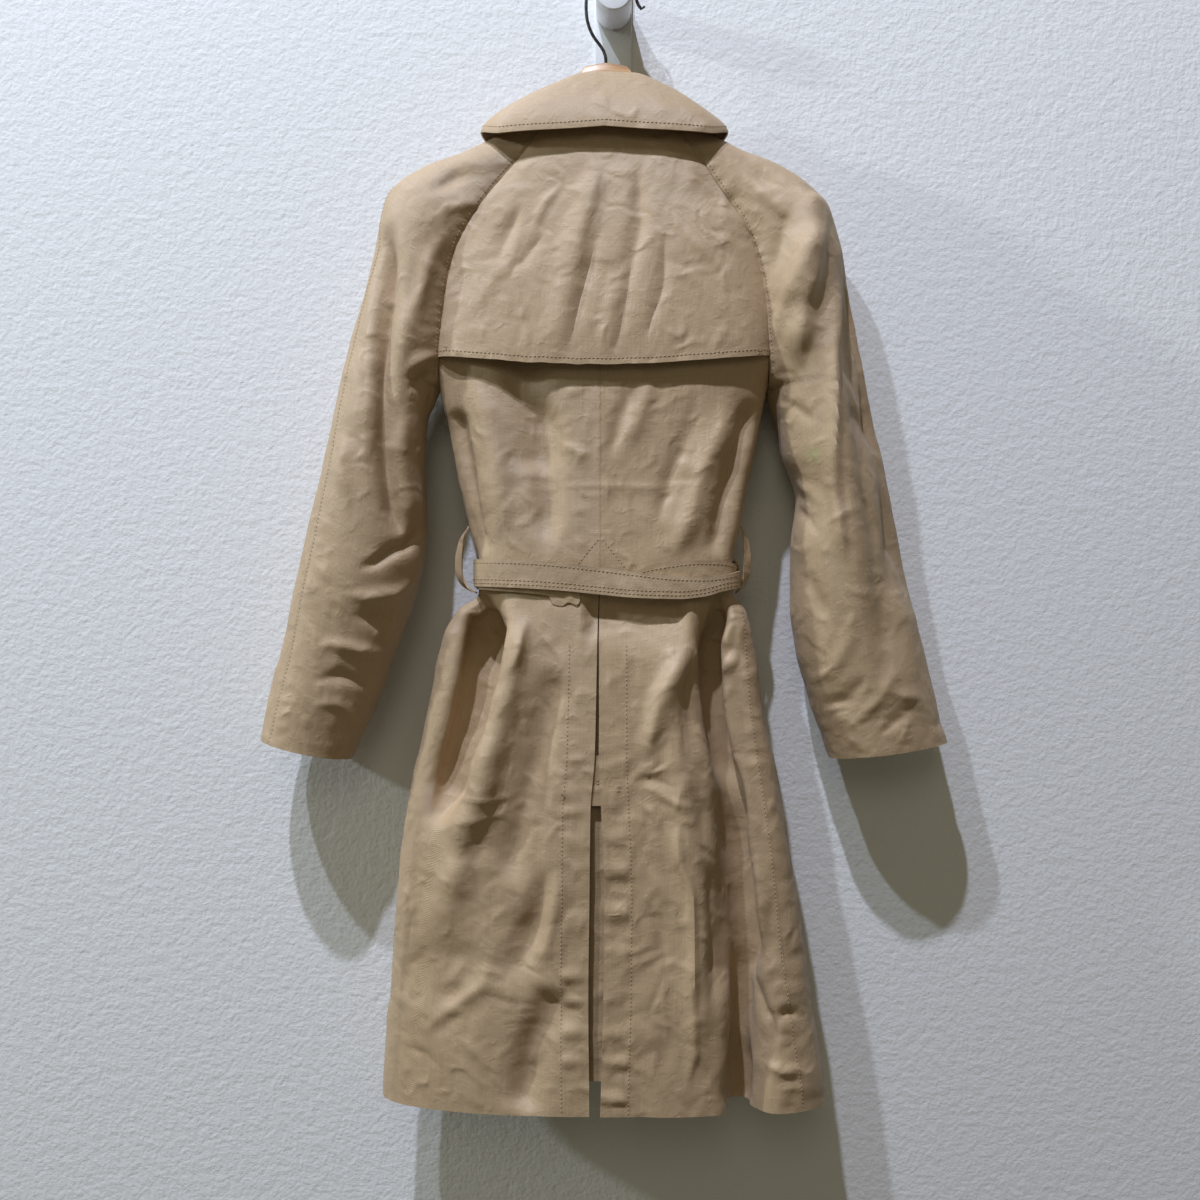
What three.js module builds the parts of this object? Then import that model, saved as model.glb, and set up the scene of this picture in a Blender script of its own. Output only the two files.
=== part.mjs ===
// A belted trench coat on a wooden hanger, hung by its wire hook on a wall peg, with its back to the room.
// Millimetres. X is across, Y runs into the wall and Z is up. The wall is the plane Y = 0, and the origin is
// on it, behind the peg's axis. Left and right are as seen from the room.
import * as THREE from "three";

// ---- Driving sizes ----
const CLOTH = 1.6;
const SEAM_GAP = 0.4;
const UNDERARM_GAP = 4;
const UNDERARM_OPENING = 6;
const LAYER_GAP = 0.5;
const CENTRE_X = -14;
const COLLAR_X = -9.5;
const HEM_Z = -1112;
const UNDERARM_Z = -403;
const NECK_FRONT_Z = -218;
const OVERLAP = 22;
const OVERLAP_LIFT = 1.5;
const YOKE = { rows: 9, bow: 14, halfWidth: 170, proud: 9 };
const PLEAT = { top: -627, bottom: -1084, columns: 2, clear: 0.8 };
const TAB = { top: -769, bottom: -817, left: -27, right: -11 };
const COLLAR_TRIM = 0.14;
const STAND_LIFT = 2.4;
const ROLL_OUT = 9;
const ROLL_OUT_FRONT = 12;
const BELT = {
  z: -597, rise: 4, height: 27, cloth: 2.2, clear: 3.2, steps: 28, sag: 8, sagX: -5, sagWide: 70,
};
const KNOT = { halfWidth: 23, halfDepth: 5.5, halfHeight: 18 };
const TAIL = { rows: [-627, -655, -690, -735, -780], apart: 15, spread: -0.1 };
const LOOP = { y: -61, width: 8, cloth: 1.8, steps: 10, twist: 45 };
const PEG = { radius: 19, length: 50, plateWidth: 39, plateTop: 45, plateBottom: -95, plate: 4 };
const HANGER = { x: -8, y: -42, thick: 12, steps: 10 };
const WIRE_RADIUS = 1.7;
const BUTTON = { radius: 11, thick: 3, count: 5, first: -300, pitch: 62 };

// Heights of the rows: down the raglan seam, down the side seam, and down the sleeve's inner edge.
const RAGLAN_Z = [-130, -148, -168, -192, -220, -250, -284, -316, -346, -376, -403];
const SIDE_Z = [
  -424, -450, -480, -512, -545, -572, -590, -611, -627, -645, -670,
  -702, -740, -781, -822, -862, -905, -950, -995, -1040, -1084, HEM_Z,
];
const SLEEVE_Z = [-420, -445, -475, -505, -535, -565, -595, -625, -655, -690, -730, -779];
const COLUMNS = { inner: 9, outer: 5, front: 8, sleeveBack: 10, sleeveFront: 7 };

// The body's section at each height. Seam is where the raglan or side seam runs, fold is the deep side fold,
// back and front are depths, and square is how boxy the corner is (2 is round).
const BODY_LEFT = [
  { z: -130, edge: -82, seam: -64, fold: -48, back: -66, front: -24, square: 2.4 },
  { z: -165, edge: -99, seam: -84, fold: -62, back: -73, front: -22, square: 2.6 },
  { z: -200, edge: -127, seam: -113, fold: -86, back: -78, front: -19, square: 2.8 },
  { z: -245, edge: -156, seam: -145, fold: -112, back: -83, front: -16, square: 3 },
  { z: -285, edge: -170, seam: -163, fold: -130, back: -86, front: -14, square: 3 },
  { z: -330, edge: -181, seam: -170, fold: -145, back: -88, front: -13, square: 3 },
  { z: -370, edge: -183, seam: -174, fold: -154, back: -89, front: -12, square: 3 },
  { z: -403, edge: -176, seam: -176, fold: -158, back: -90, front: -12, square: 3 },
  { z: -450, edge: -166, seam: -166, fold: -152, back: -91, front: -14, square: 3 },
  { z: -500, edge: -156, seam: -156, fold: -143, back: -93, front: -17, square: 3.2 },
  { z: -550, edge: -142, seam: -142, fold: -131, back: -97, front: -20, square: 3.4 },
  { z: -580, edge: -134, seam: -134, fold: -121, back: -99, front: -23, square: 3.4 },
  { z: -613, edge: -135, seam: -135, fold: -122, back: -100, front: -23, square: 3.2 },
  { z: -630, edge: -156, seam: -156, fold: -127, back: -103, front: -20, square: 2.8 },
  { z: -668, edge: -174, seam: -174, fold: -134, back: -107, front: -15, square: 2.6 },
  { z: -708, edge: -182, seam: -182, fold: -143, back: -111, front: -12, square: 2.5 },
  { z: -786, edge: -199, seam: -199, fold: -163, back: -116, front: -9, square: 2.4 },
  { z: -865, edge: -212, seam: -212, fold: -186, back: -120, front: -8, square: 2.3 },
  { z: -963, edge: -220, seam: -220, fold: -196, back: -123, front: -7, square: 2.2 },
  { z: -1060, edge: -227, seam: -227, fold: -204, back: -125, front: -7, square: 2.2 },
  { z: -1112, edge: -230, seam: -230, fold: -207, back: -126, front: -7, square: 2.2 },
];
const BODY_RIGHT = [
  { z: -130, edge: 66, seam: 49, fold: 34, square: 2.4 },
  { z: -165, edge: 91, seam: 76, fold: 56, square: 2.6 },
  { z: -200, edge: 113, seam: 100, fold: 74, square: 2.8 },
  { z: -245, edge: 139, seam: 129, fold: 96, square: 3 },
  { z: -285, edge: 152, seam: 144, fold: 112, square: 3 },
  { z: -330, edge: 164, seam: 151, fold: 126, square: 3 },
  { z: -370, edge: 166, seam: 154, fold: 134, square: 3 },
  { z: -403, edge: 155, seam: 155, fold: 138, square: 3 },
  { z: -450, edge: 145, seam: 145, fold: 129, square: 3 },
  { z: -500, edge: 134, seam: 134, fold: 115, square: 3.2 },
  { z: -550, edge: 125, seam: 125, fold: 103, square: 3.4 },
  { z: -580, edge: 118, seam: 118, fold: 98, square: 3.6 },
  { z: -613, edge: 119, seam: 118, fold: 98, square: 3.8 },
  { z: -630, edge: 131, seam: 127, fold: 98, square: 4 },
  { z: -668, edge: 140, seam: 131, fold: 100, square: 4 },
  { z: -708, edge: 145, seam: 134, fold: 103, square: 4 },
  { z: -786, edge: 160, seam: 144, fold: 113, square: 4 },
  { z: -865, edge: 174, seam: 154, fold: 126, square: 4 },
  { z: -963, edge: 188, seam: 164, fold: 131, square: 4 },
  { z: -1060, edge: 201, seam: 177, fold: 130, square: 4 },
  { z: -1112, edge: 209, seam: 184, fold: 127, square: 4 },
];

// How far each edge of the slit lies from the centre line, and how deep the pleat cloth lies behind it.
const SLIT = [
  { z: -597, left: 0, right: 0, pleat: 2.2 },
  { z: -640, left: -2, right: -1, pleat: 4 },
  { z: -770, left: -5, right: -1, pleat: 8 },
  { z: -822, left: -9, right: 1, pleat: 10 },
  { z: -905, left: -10, right: 4, pleat: 11 },
  { z: -1000, left: -11, right: 3, pleat: 11 },
  { z: -1112, left: -10, right: 0, pleat: 11 },
];

// The sleeves' sections, by the height of the inner edge or seam. Outer is the silhouette, middle its depth,
// back and front the depths of the two faces, and over the angle of the overarm seam round to the back.
const SLEEVE_LEFT = [
  { z: -130, innerX: -64, outerX: -79, outerZ: -130, middle: -43, back: -58, front: -29, over: 8 },
  { z: -165, innerX: -84, outerX: -145, outerZ: -160, middle: -42, back: -66, front: -27, over: 8 },
  { z: -200, innerX: -113, outerX: -197, outerZ: -180, middle: -42, back: -74, front: -22, over: 8 },
  { z: -245, innerX: -145, outerX: -231, outerZ: -209, middle: -44, back: -82, front: -17, over: 12 },
  { z: -285, innerX: -163, outerX: -241, outerZ: -256, middle: -47, back: -88, front: -13, over: 20 },
  { z: -330, innerX: -170, outerX: -253, outerZ: -314, middle: -50, back: -92, front: -11, over: 26 },
  { z: -370, innerX: -174, outerX: -266, outerZ: -358, middle: -52, back: -96, front: -10, over: 32 },
  { z: -403, innerX: -176, outerX: -275, outerZ: -400, middle: -52, back: -99, front: -9, over: 36 },
  { z: -440, innerX: -189, outerX: -284, outerZ: -441, middle: -54, back: -102, front: -8, over: 38 },
  { z: -487, innerX: -192, outerX: -294, outerZ: -490, middle: -55, back: -104, front: -8, over: 40 },
  { z: -535, innerX: -190, outerX: -306, outerZ: -538, middle: -56, back: -106, front: -8, over: 40 },
  { z: -580, innerX: -193, outerX: -316, outerZ: -584, middle: -56, back: -106, front: -8, over: 40 },
  { z: -620, innerX: -204, outerX: -325, outerZ: -622, middle: -56, back: -104, front: -8, over: 40 },
  { z: -660, innerX: -217, outerX: -332, outerZ: -660, middle: -56, back: -102, front: -8, over: 41 },
  { z: -701, innerX: -232, outerX: -342, outerZ: -698, middle: -55, back: -100, front: -9, over: 43 },
  { z: -779, innerX: -266, outerX: -355, outerZ: -759, middle: -54, back: -98, front: -10, over: 45 },
];
const SLEEVE_RIGHT = [
  { z: -130, innerX: 49, outerX: 61, outerZ: -130, middle: -43, back: -58, front: -29, over: 0 },
  { z: -165, innerX: 76, outerX: 124, outerZ: -158, middle: -42, back: -66, front: -27, over: 0 },
  { z: -200, innerX: 100, outerX: 178, outerZ: -182, middle: -42, back: -74, front: -22, over: 0 },
  { z: -245, innerX: 129, outerX: 214, outerZ: -214, middle: -44, back: -82, front: -17, over: 0 },
  { z: -285, innerX: 144, outerX: 231, outerZ: -262, middle: -42, back: -88, front: -13, over: 0 },
  { z: -330, innerX: 151, outerX: 242, outerZ: -318, middle: -42, back: -92, front: -11, over: 0 },
  { z: -370, innerX: 154, outerX: 250, outerZ: -360, middle: -42, back: -96, front: -10, over: 0 },
  { z: -403, innerX: 155, outerX: 258, outerZ: -402, middle: -41, back: -98, front: -9, over: 0 },
  { z: -440, innerX: 166, outerX: 266, outerZ: -444, middle: -41, back: -100, front: -8, over: 0 },
  { z: -472, innerX: 172, outerX: 274, outerZ: -476, middle: -41, back: -102, front: -8, over: 0 },
  { z: -517, innerX: 187, outerX: 282, outerZ: -518, middle: -41, back: -102, front: -8, over: 0 },
  { z: -568, innerX: 181, outerX: 292, outerZ: -572, middle: -42, back: -102, front: -9, over: 0 },
  { z: -619, innerX: 181, outerX: 302, outerZ: -619, middle: -43, back: -100, front: -10, over: 0 },
  { z: -670, innerX: 187, outerX: 314, outerZ: -668, middle: -45, back: -96, front: -14, over: 0 },
  { z: -726, innerX: 201, outerX: 326, outerZ: -722, middle: -48, back: -92, front: -20, over: 0 },
  { z: -779, innerX: 218, outerX: 336, outerZ: -763, middle: -50, back: -88, front: -25, over: 0 },
];

// The largest folds, as paths of [x, z] over one face of the coat, with the lift at each one's start and end.
const FOLDS = [
  { fold: "left side", face: "back", wide: 13, deep: -25, end: -4,
    path: [[-121, -600], [-127, -640], [-137, -700], [-152, -760], [-170, -820], [-187, -858]] },
  { fold: "left ridge", face: "back", wide: 13, deep: 7, end: 5,
    path: [[-104, -620], [-108, -668], [-114, -720], [-128, -790], [-146, -850], [-166, -930]] },
  { fold: "left thigh upper", face: "back", wide: 15, deep: -9, end: -9,
    path: [[-58, -680], [-72, -740], [-84, -800], [-96, -870], [-101, -900]] },
  { fold: "left thigh lower", face: "back", wide: 15, deep: -10, end: -10,
    path: [[-67, -880], [-80, -925], [-94, -965], [-106, -990]] },
  { fold: "left hem", face: "back", wide: 17, deep: -8, end: -8,
    path: [[-50, -990], [-72, -1040], [-90, -1112]] },
  { fold: "left hollow", face: "back", wide: 24, deep: -8, end: -8,
    path: [[-139, -940], [-154, -985], [-168, -1030]] },
  { fold: "right side", face: "back", wide: 15, deep: -26, end: -26,
    path: [[98, -596], [98, -640], [102, -698], [114, -786], [129, -886], [131, -975]] },
  { fold: "right side low", face: "back", wide: 22, deep: -30, end: -36,
    path: [[128, -905], [131, -970], [130, -1060], [126, -1112], [125, -1150]] },
  { fold: "right ridge", face: "back", wide: 16, deep: 6, end: 6,
    path: [[66, -640], [60, -720], [72, -850], [80, -950], [76, -1080]] },
  { fold: "chest left", face: "back", wide: 9, deep: -9, end: -9,
    path: [[-158, -425], [-147, -480], [-137, -525], [-128, -578]] },
  { fold: "chest right", face: "back", wide: 10, deep: -9, end: -9,
    path: [[139, -415], [129, -452], [119, -482], [104, -540], [98, -578]] },
  { fold: "left sleeve", face: "back", wide: 11, deep: -20, end: -12,
    path: [
      [-230, -238], [-226, -275], [-225, -320], [-226, -400], [-222, -470], [-214, -530], [-194, -580],
    ] },
  { fold: "right sleeve", face: "back", wide: 16, deep: -11, end: -9,
    path: [[238, -285], [244, -400], [250, -500], [262, -590], [276, -700]] },
  { fold: "right arm ridge", face: "back", wide: 16, deep: 8, end: 6,
    path: [[200, -205], [190, -255], [174, -330]] },
  { fold: "chest hollow", face: "back", wide: 24, deep: -15, end: -6,
    path: [[-98, -345], [-90, -400], [-82, -440], [-80, -500]] },
  { fold: "waist hollow", face: "back", wide: 24, deep: -10, end: -10,
    path: [[-34, -628], [20, -632], [76, -628]] },
  { fold: "front left hang", face: "front", wide: 18, deep: -10, end: -10,
    path: [[-90, -640], [-104, -760], [-120, -900], [-128, -1112]] },
  { fold: "front right hang", face: "front", wide: 18, deep: -10, end: -10,
    path: [[72, -640], [88, -780], [102, -920], [112, -1112]] },
  { fold: "front chest left", face: "front", wide: 14, deep: -7, end: -7,
    path: [[-120, -380], [-100, -480], [-92, -575]] },
  { fold: "front chest right", face: "front", wide: 14, deep: -7, end: -7,
    path: [[104, -380], [86, -480], [74, -575]] },
  { fold: "left sleeve inside", face: "front", wide: 16, deep: -9, end: -9,
    path: [[-224, -330], [-238, -470], [-262, -600]] },
  { fold: "right sleeve inside", face: "front", wide: 16, deep: -9, end: -9,
    path: [[204, -330], [224, -470], [240, -600]] },
];

// The collar from the centre back (0) to the front (1). Its roll lies in, out to the wall and up from the
// neck edge, and its free edge lies out from the collar's middle.
const COLLAR = [
  { at: 0, rollIn: 0, rollY: 8, rollUp: 41, edgeOut: 0, edgeY: -88, edgeZ: -152 },
  { at: 0.14, rollIn: 6, rollY: 7, rollUp: 40, edgeOut: 52, edgeY: -87, edgeZ: -155 },
  { at: 0.27, rollIn: 8, rollY: 6, rollUp: 31, edgeOut: 103, edgeY: -80, edgeZ: -156 },
  { at: 0.38, rollIn: 7, rollY: 3, rollUp: 19, edgeOut: 125, edgeY: -52, edgeZ: -146 },
  { at: 0.46, rollIn: 3, rollY: 3, rollUp: 13, edgeOut: 122, edgeY: -30, edgeZ: -146 },
  { at: 0.57, rollIn: 8, rollY: 5, rollUp: 9, edgeOut: 113, edgeY: -13, edgeZ: -168 },
  { at: 0.77, rollIn: 9, rollY: 5, rollUp: 9, edgeOut: 88, edgeY: -8, edgeZ: -224 },
  { at: 1, rollIn: 6, rollY: 6, rollUp: 9, edgeOut: 44, edgeY: -5.5, edgeZ: -262 },
];

// The hanger's half outline from its middle.
const HANGER_ARM = [
  { out: 0, top: -70, bottom: -112 },
  { out: 20, top: -73, bottom: -114 },
  { out: 33, top: -86, bottom: -121 },
  { out: 50, top: -110, bottom: -138 },
  { out: 70, top: -136, bottom: -158 },
  { out: 110, top: -156, bottom: -178 },
  { out: 150, top: -171, bottom: -193 },
  { out: 190, top: -193, bottom: -212 },
  { out: 214, top: -214, bottom: -226 },
];
const HOOK_PATH = [
  [-8, -69.6], [-8.4, -63], [-11, -56], [-22, -40], [-27.3, -24], [-27.3, 1], [-22.5, 13.5], [-12, 20],
  [0, 21.4], [11.5, 18.8], [19.2, 10.6], [22, 0], [25, -9.5], [28.6, -14.2], [31.2, -11.5],
];

// The belt loops' paths as [x, z], from the top seat to the bottom one.
const LOOP_PATHS = {
  belt_loop_left: [[-146, -545], [-153, -557], [-156.5, -577], [-156, -595], [-150, -606], [-138.2, -612]],
  belt_loop_right: [[128.4, -545], [133, -558], [134.5, -578], [133.5, -594], [130, -605], [122.4, -612]],
};

// ---- Tables and curves ----

// A column of a table, read at a key between its rows on a smooth curve that never overshoots.
function read(table, key, name, at) {
  const last = table.length - 1;
  const rising = Math.sign(table[last][key] - table[0][key]);
  let i = 0;
  while (i < last - 1 && rising * (at - table[i + 1][key]) > 0) i += 1;
  const span = (j) => table[j + 1][key] - table[j][key];
  const slope = (j) => (table[j + 1][name] - table[j][name]) / span(j);
  const tangent = (j) => {
    if (j === 0) return slope(0);
    if (j === last) return slope(last - 1);
    const product = slope(j - 1) * slope(j);
    return product > 0 ? (2 * product) / (slope(j - 1) + slope(j)) : 0;
  };
  const t = THREE.MathUtils.clamp((at - table[i][key]) / span(i), 0, 1);
  const here = table[i][name] * (1 + 2 * t) * (1 - t) ** 2;
  const next = table[i + 1][name] * t * t * (3 - 2 * t);
  return here + next + span(i) * (tangent(i) * t * (1 - t) ** 2 - tangent(i + 1) * t * t * (1 - t));
}

// Points spread evenly along a curve given as a function of 0 to 1.
function evenly(curve, from, to, count) {
  const fine = [];
  const steps = 80;
  for (let i = 0; i <= steps; i += 1) fine.push(curve(from + ((to - from) * i) / steps));
  const reach = [0];
  for (let i = 1; i <= steps; i += 1) reach.push(reach[i - 1] + fine[i].distanceTo(fine[i - 1]));
  const points = [];
  let j = 0;
  for (let i = 0; i <= count; i += 1) {
    const want = (reach[steps] * i) / count;
    while (j < steps - 1 && reach[j + 1] < want) j += 1;
    const t = (want - reach[j]) / (reach[j + 1] - reach[j] || 1);
    points.push(fine[j].clone().lerp(fine[j + 1], THREE.MathUtils.clamp(t, 0, 1)));
  }
  return points;
}

// ---- The body ----

const bodyTable = (side) => (side < 0 ? BODY_LEFT : BODY_RIGHT);

// A point on the body at a height, round from the centre back (angle 0) to the centre front (PI).
function bodyPoint(side, z, angle) {
  const table = bodyTable(side);
  const half = side * (read(table, "z", "edge", z) - CENTRE_X);
  const power = 2 / read(table, "z", "square", z);
  const back = read(BODY_LEFT, "z", "back", z);
  const front = read(BODY_LEFT, "z", "front", z);
  const middle = (back + front) / 2;
  const across = Math.abs(Math.sin(angle)) ** power;
  const deep = Math.abs(Math.cos(angle)) ** power;
  const y = Math.cos(angle) >= 0 ? middle + (back - middle) * deep : middle + (front - middle) * deep;
  return new THREE.Vector3(CENTRE_X + side * half * across, y, z);
}

// The angle at which the body's section reaches an x on its back.
function bodyAngle(side, z, name) {
  const table = bodyTable(side);
  const half = read(table, "z", "edge", z) - CENTRE_X;
  const ratio = Math.min(1, (read(table, "z", name, z) - CENTRE_X) / half);
  return Math.asin(ratio ** (read(table, "z", "square", z) / 2));
}

function slitEdge(side, z) {
  return z > SLIT[0].z ? 0 : read(SLIT, "z", side < 0 ? "left" : "right", z);
}

// A row of the back panel, from the centre to the seam, with a column on the deep fold.
function backRow(side, z) {
  const fold = bodyAngle(side, z, "fold");
  const seam = bodyAngle(side, z, "seam");
  const at = (angle) => bodyPoint(side, z, angle);
  const inner = evenly(at, 0, fold, COLUMNS.inner);
  const outer = evenly(at, fold, seam, COLUMNS.outer);
  const row = [...inner, ...outer.slice(1)];
  const edge = slitEdge(side, z);
  row.forEach((p, i) => {
    p.x += edge * (1 - i / COLUMNS.inner > 0 ? (1 - i / COLUMNS.inner) ** 2 : 0);
  });
  return row;
}

// A row of the front panel, from the seam to its free edge past the centre front. The right one lies outside.
function frontRow(side, z) {
  const seam = bodyAngle(side, z, "seam");
  const start = z > UNDERARM_Z ? Math.PI - seam : seam;
  const centreZ = HEM_Z + ((z - HEM_Z) * (NECK_FRONT_Z - HEM_Z)) / (RAGLAN_Z[0] - HEM_Z);
  const at = (t) => {
    const rowZ = THREE.MathUtils.lerp(z, centreZ, THREE.MathUtils.smoothstep(t, 0, 1));
    return bodyPoint(side, rowZ, THREE.MathUtils.lerp(start, Math.PI, t));
  };
  const row = evenly(at, 0, 1, COLUMNS.front);
  row.forEach((p, i) => {
    const t = i / COLUMNS.front;
    p.x -= side * OVERLAP * THREE.MathUtils.smoothstep(t, 0.2, 1);
    p.y += side * OVERLAP_LIFT * THREE.MathUtils.smoothstep(t, 0.35, 0.8);
  });
  return row;
}

// ---- The sleeves ----

// A row of a sleeve's back or front half, from the overarm seam to the raglan or underarm seam.
function sleeveRow(side, z, face) {
  const table = side < 0 ? SLEEVE_LEFT : SLEEVE_RIGHT;
  const get = (name) => read(table, "z", name, z);
  const angle = bodyAngle(side, z, "seam");
  const outer = new THREE.Vector3(get("outerX"), get("middle"), get("outerZ"));
  const halves = ["back", "front"].map((half) => {
    const sign = half === "back" ? -1 : 1;
    const onSeam = bodyPoint(side, z, half === "back" ? angle : Math.PI - angle);
    const inner = z < UNDERARM_Z ? new THREE.Vector3(get("innerX"), outer.y, z) : onSeam;
    const depth = Math.max(sign * (get(half) - outer.y), sign * (inner.y - outer.y));
    const end = Math.PI - Math.asin(THREE.MathUtils.clamp((sign * (inner.y - outer.y)) / depth, 0, 1));
    const shift = Math.cos(end) / (Math.cos(end) - 1);
    return { sign, inner, depth, end, shift };
  });
  const point = (turn) => {
    const half = halves[turn >= 0 ? 0 : 1];
    const t = half.shift + (1 - half.shift) * Math.cos(turn);
    const p = half.inner.clone().lerp(outer, t);
    p.y = outer.y + half.sign * half.depth * Math.sin(Math.abs(turn));
    return p;
  };
  const over = THREE.MathUtils.degToRad(get("over"));
  const row = face === "back"
    ? evenly(point, over, halves[0].end, COLUMNS.sleeveBack)
    : evenly(point, over, -halves[1].end, COLUMNS.sleeveFront);
  const opening = UNDERARM_OPENING * Math.exp(-(((z - UNDERARM_Z) / 26) ** 2));
  row.forEach((p, i) => {
    const t = 1 - i / (row.length - 1);
    const share = THREE.MathUtils.smoothstep(t, 0, 0.12) * THREE.MathUtils.smoothstep(1 - t, 0, 0.5);
    p.x += side * opening * share;
  });
  return row;
}

// ---- Folds and walls ----

// How far a fold lifts the cloth at a place on its face, and where along the fold that is.
function liftOf(fold, x, z) {
  let best = { far: Infinity, reach: 0 };
  let reach = 0;
  for (let i = 0; i + 1 < fold.path.length; i += 1) {
    const [ax, az] = fold.path[i];
    const [bx, bz] = fold.path[i + 1];
    const length = Math.hypot(bx - ax, bz - az);
    const t = THREE.MathUtils.clamp(((x - ax) * (bx - ax) + (z - az) * (bz - az)) / length ** 2, 0, 1);
    const far = Math.hypot(x - ax - t * (bx - ax), z - az - t * (bz - az));
    if (far < best.far) best = { far, reach: reach + t * length };
    reach += length;
  }
  const along = best.reach / reach;
  const fade = THREE.MathUtils.smoothstep(along, 0, 0.15) * THREE.MathUtils.smoothstep(1 - along, 0, 0.15);
  return THREE.MathUtils.lerp(fold.deep, fold.end, along) * fade * Math.exp(-((best.far / fold.wide) ** 2));
}

function foldedBy(p, normal) {
  const facing = { back: -normal.y, front: normal.y };
  let lift = 0;
  for (const fold of FOLDS) {
    const weight = THREE.MathUtils.smoothstep(facing[fold.face], 0.05, 0.45);
    if (weight > 0) lift += weight * liftOf(fold, p.x, p.z);
  }
  const belted = Math.exp(-(((p.z - BELT.z) / 24) ** 2));
  return lift > 0 ? lift * (1 - belted) : lift;
}

// Normals of a grid of points, outwards when sign is right for the grid's order.
function normalsOf(grid, sign) {
  const normals = grid.map((row) => row.map(() => new THREE.Vector3()));
  for (let r = 0; r + 1 < grid.length; r += 1) {
    for (let c = 0; c + 1 < grid[r].length; c += 1) {
      const across = grid[r][c + 1].clone().sub(grid[r][c]).add(grid[r + 1][c + 1]).sub(grid[r + 1][c]);
      const down = grid[r + 1][c].clone().sub(grid[r][c]).add(grid[r + 1][c + 1]).sub(grid[r][c + 1]);
      const normal = across.cross(down).multiplyScalar(sign);
      for (const [i, j] of [[r, c], [r, c + 1], [r + 1, c], [r + 1, c + 1]]) normals[i][j].add(normal);
    }
  }
  normals.forEach((row) => row.forEach((n) => n.normalize()));
  return normals;
}

// Panels that share a seam share its normals, so that their edges meet face to face.
function weldNormals(panels) {
  const sums = new Map();
  const keyOf = (p) => [p.x, p.y, p.z].map((v) => Math.round(v * 50)).join();
  for (const panel of panels) {
    panel.normals = normalsOf(panel.grid, panel.sign);
    panel.grid.forEach((row, r) => row.forEach((p, c) => {
      const key = keyOf(p);
      if (!sums.has(key)) sums.set(key, new THREE.Vector3());
      sums.get(key).add(panel.normals[r][c]);
    }));
  }
  for (const panel of panels) {
    panel.normals = panel.grid.map((row) => row.map((p) => sums.get(keyOf(p)).clone().normalize()));
  }
}

// A closed wall of cloth round a grid of points, with its edges drawn back by half a seam gap.
function wall(grid, normals, cloth = CLOTH, gap = SEAM_GAP) {
  const rows = grid.length;
  const columns = grid[0].length;
  const drawn = (r, c) => {
    const p = grid[r][c].clone();
    const towards = (q, far) => p.add(q.clone().sub(grid[r][c]).setLength(far / 2));
    const underarm = UNDERARM_GAP * Math.exp(-(((p.z - UNDERARM_Z) / 14) ** 2));
    if (gap > 0 && c === 0) towards(grid[r][1], gap);
    if (gap > 0 && c === columns - 1) towards(grid[r][columns - 2], gap + underarm);
    if (gap > 0 && r === 0) towards(grid[1][c], gap);
    if (gap > 0 && r === rows - 1) towards(grid[rows - 2][c], gap);
    return p;
  };
  const positions = [];
  for (const face of [0.5, -0.5]) {
    for (let r = 0; r < rows; r += 1) {
      for (let c = 0; c < columns; c += 1) {
        positions.push(...drawn(r, c).addScaledVector(normals[r][c], face * cloth).toArray());
      }
    }
  }
  const at = (face, r, c) => (face * rows + r) * columns + c;
  const index = [];
  const quad = (a, b, c, d) => index.push(a, b, c, a, c, d);
  for (let r = 0; r + 1 < rows; r += 1) {
    for (let c = 0; c + 1 < columns; c += 1) {
      quad(at(0, r, c), at(0, r + 1, c), at(0, r + 1, c + 1), at(0, r, c + 1));
      quad(at(1, r, c), at(1, r, c + 1), at(1, r + 1, c + 1), at(1, r + 1, c));
    }
    quad(at(0, r, 0), at(1, r, 0), at(1, r + 1, 0), at(0, r + 1, 0));
    quad(at(0, r, columns - 1), at(0, r + 1, columns - 1), at(1, r + 1, columns - 1), at(1, r, columns - 1));
  }
  for (let c = 0; c + 1 < columns; c += 1) {
    quad(at(0, 0, c), at(0, 0, c + 1), at(1, 0, c + 1), at(1, 0, c));
    quad(at(0, rows - 1, c), at(1, rows - 1, c), at(1, rows - 1, c + 1), at(0, rows - 1, c + 1));
  }
  return facingOut(positions, index);
}

// A closed solid through rings of points that all have the same count.
function loft(rings, closed = false) {
  const count = rings[0].length;
  const positions = rings.flat().flatMap((p) => p.toArray());
  const index = [];
  const last = closed ? rings.length : rings.length - 1;
  for (let r = 0; r < last; r += 1) {
    const next = (r + 1) % rings.length;
    for (let i = 0; i < count; i += 1) {
      const j = (i + 1) % count;
      index.push(r * count + i, r * count + j, next * count + j);
      index.push(r * count + i, next * count + j, next * count + i);
    }
  }
  if (!closed) {
    const end = (rings.length - 1) * count;
    for (let i = 1; i + 1 < count; i += 1) index.push(0, i + 1, i, end, end + i, end + i + 1);
  }
  return facingOut(positions, index);
}

function facingOut(positions, index) {
  let volume = 0;
  const corner = (i) => new THREE.Vector3().fromArray(positions, 3 * index[i]);
  for (let i = 0; i < index.length; i += 3) volume += corner(i).dot(corner(i + 1).cross(corner(i + 2)));
  if (volume < 0) index.reverse();
  const geometry = new THREE.BufferGeometry();
  geometry.setAttribute("position", new THREE.Float32BufferAttribute(positions, 3));
  geometry.setIndex(index);
  geometry.computeVertexNormals();
  return geometry;
}

// ---- Materials and the group ----

const coat = new THREE.Group();
const LOOKS = {
  cloth: { color: 0xb19669, roughness: 0.85, metalness: 0 },
  wood: { color: 0xc08a52, roughness: 0.5, metalness: 0 },
  wire: { color: 0x3a3835, roughness: 0.4, metalness: 0.7 },
  white: { color: 0xdedfe0, roughness: 0.45, metalness: 0 },
  button: { color: 0x5a4630, roughness: 0.35, metalness: 0 },
};

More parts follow.
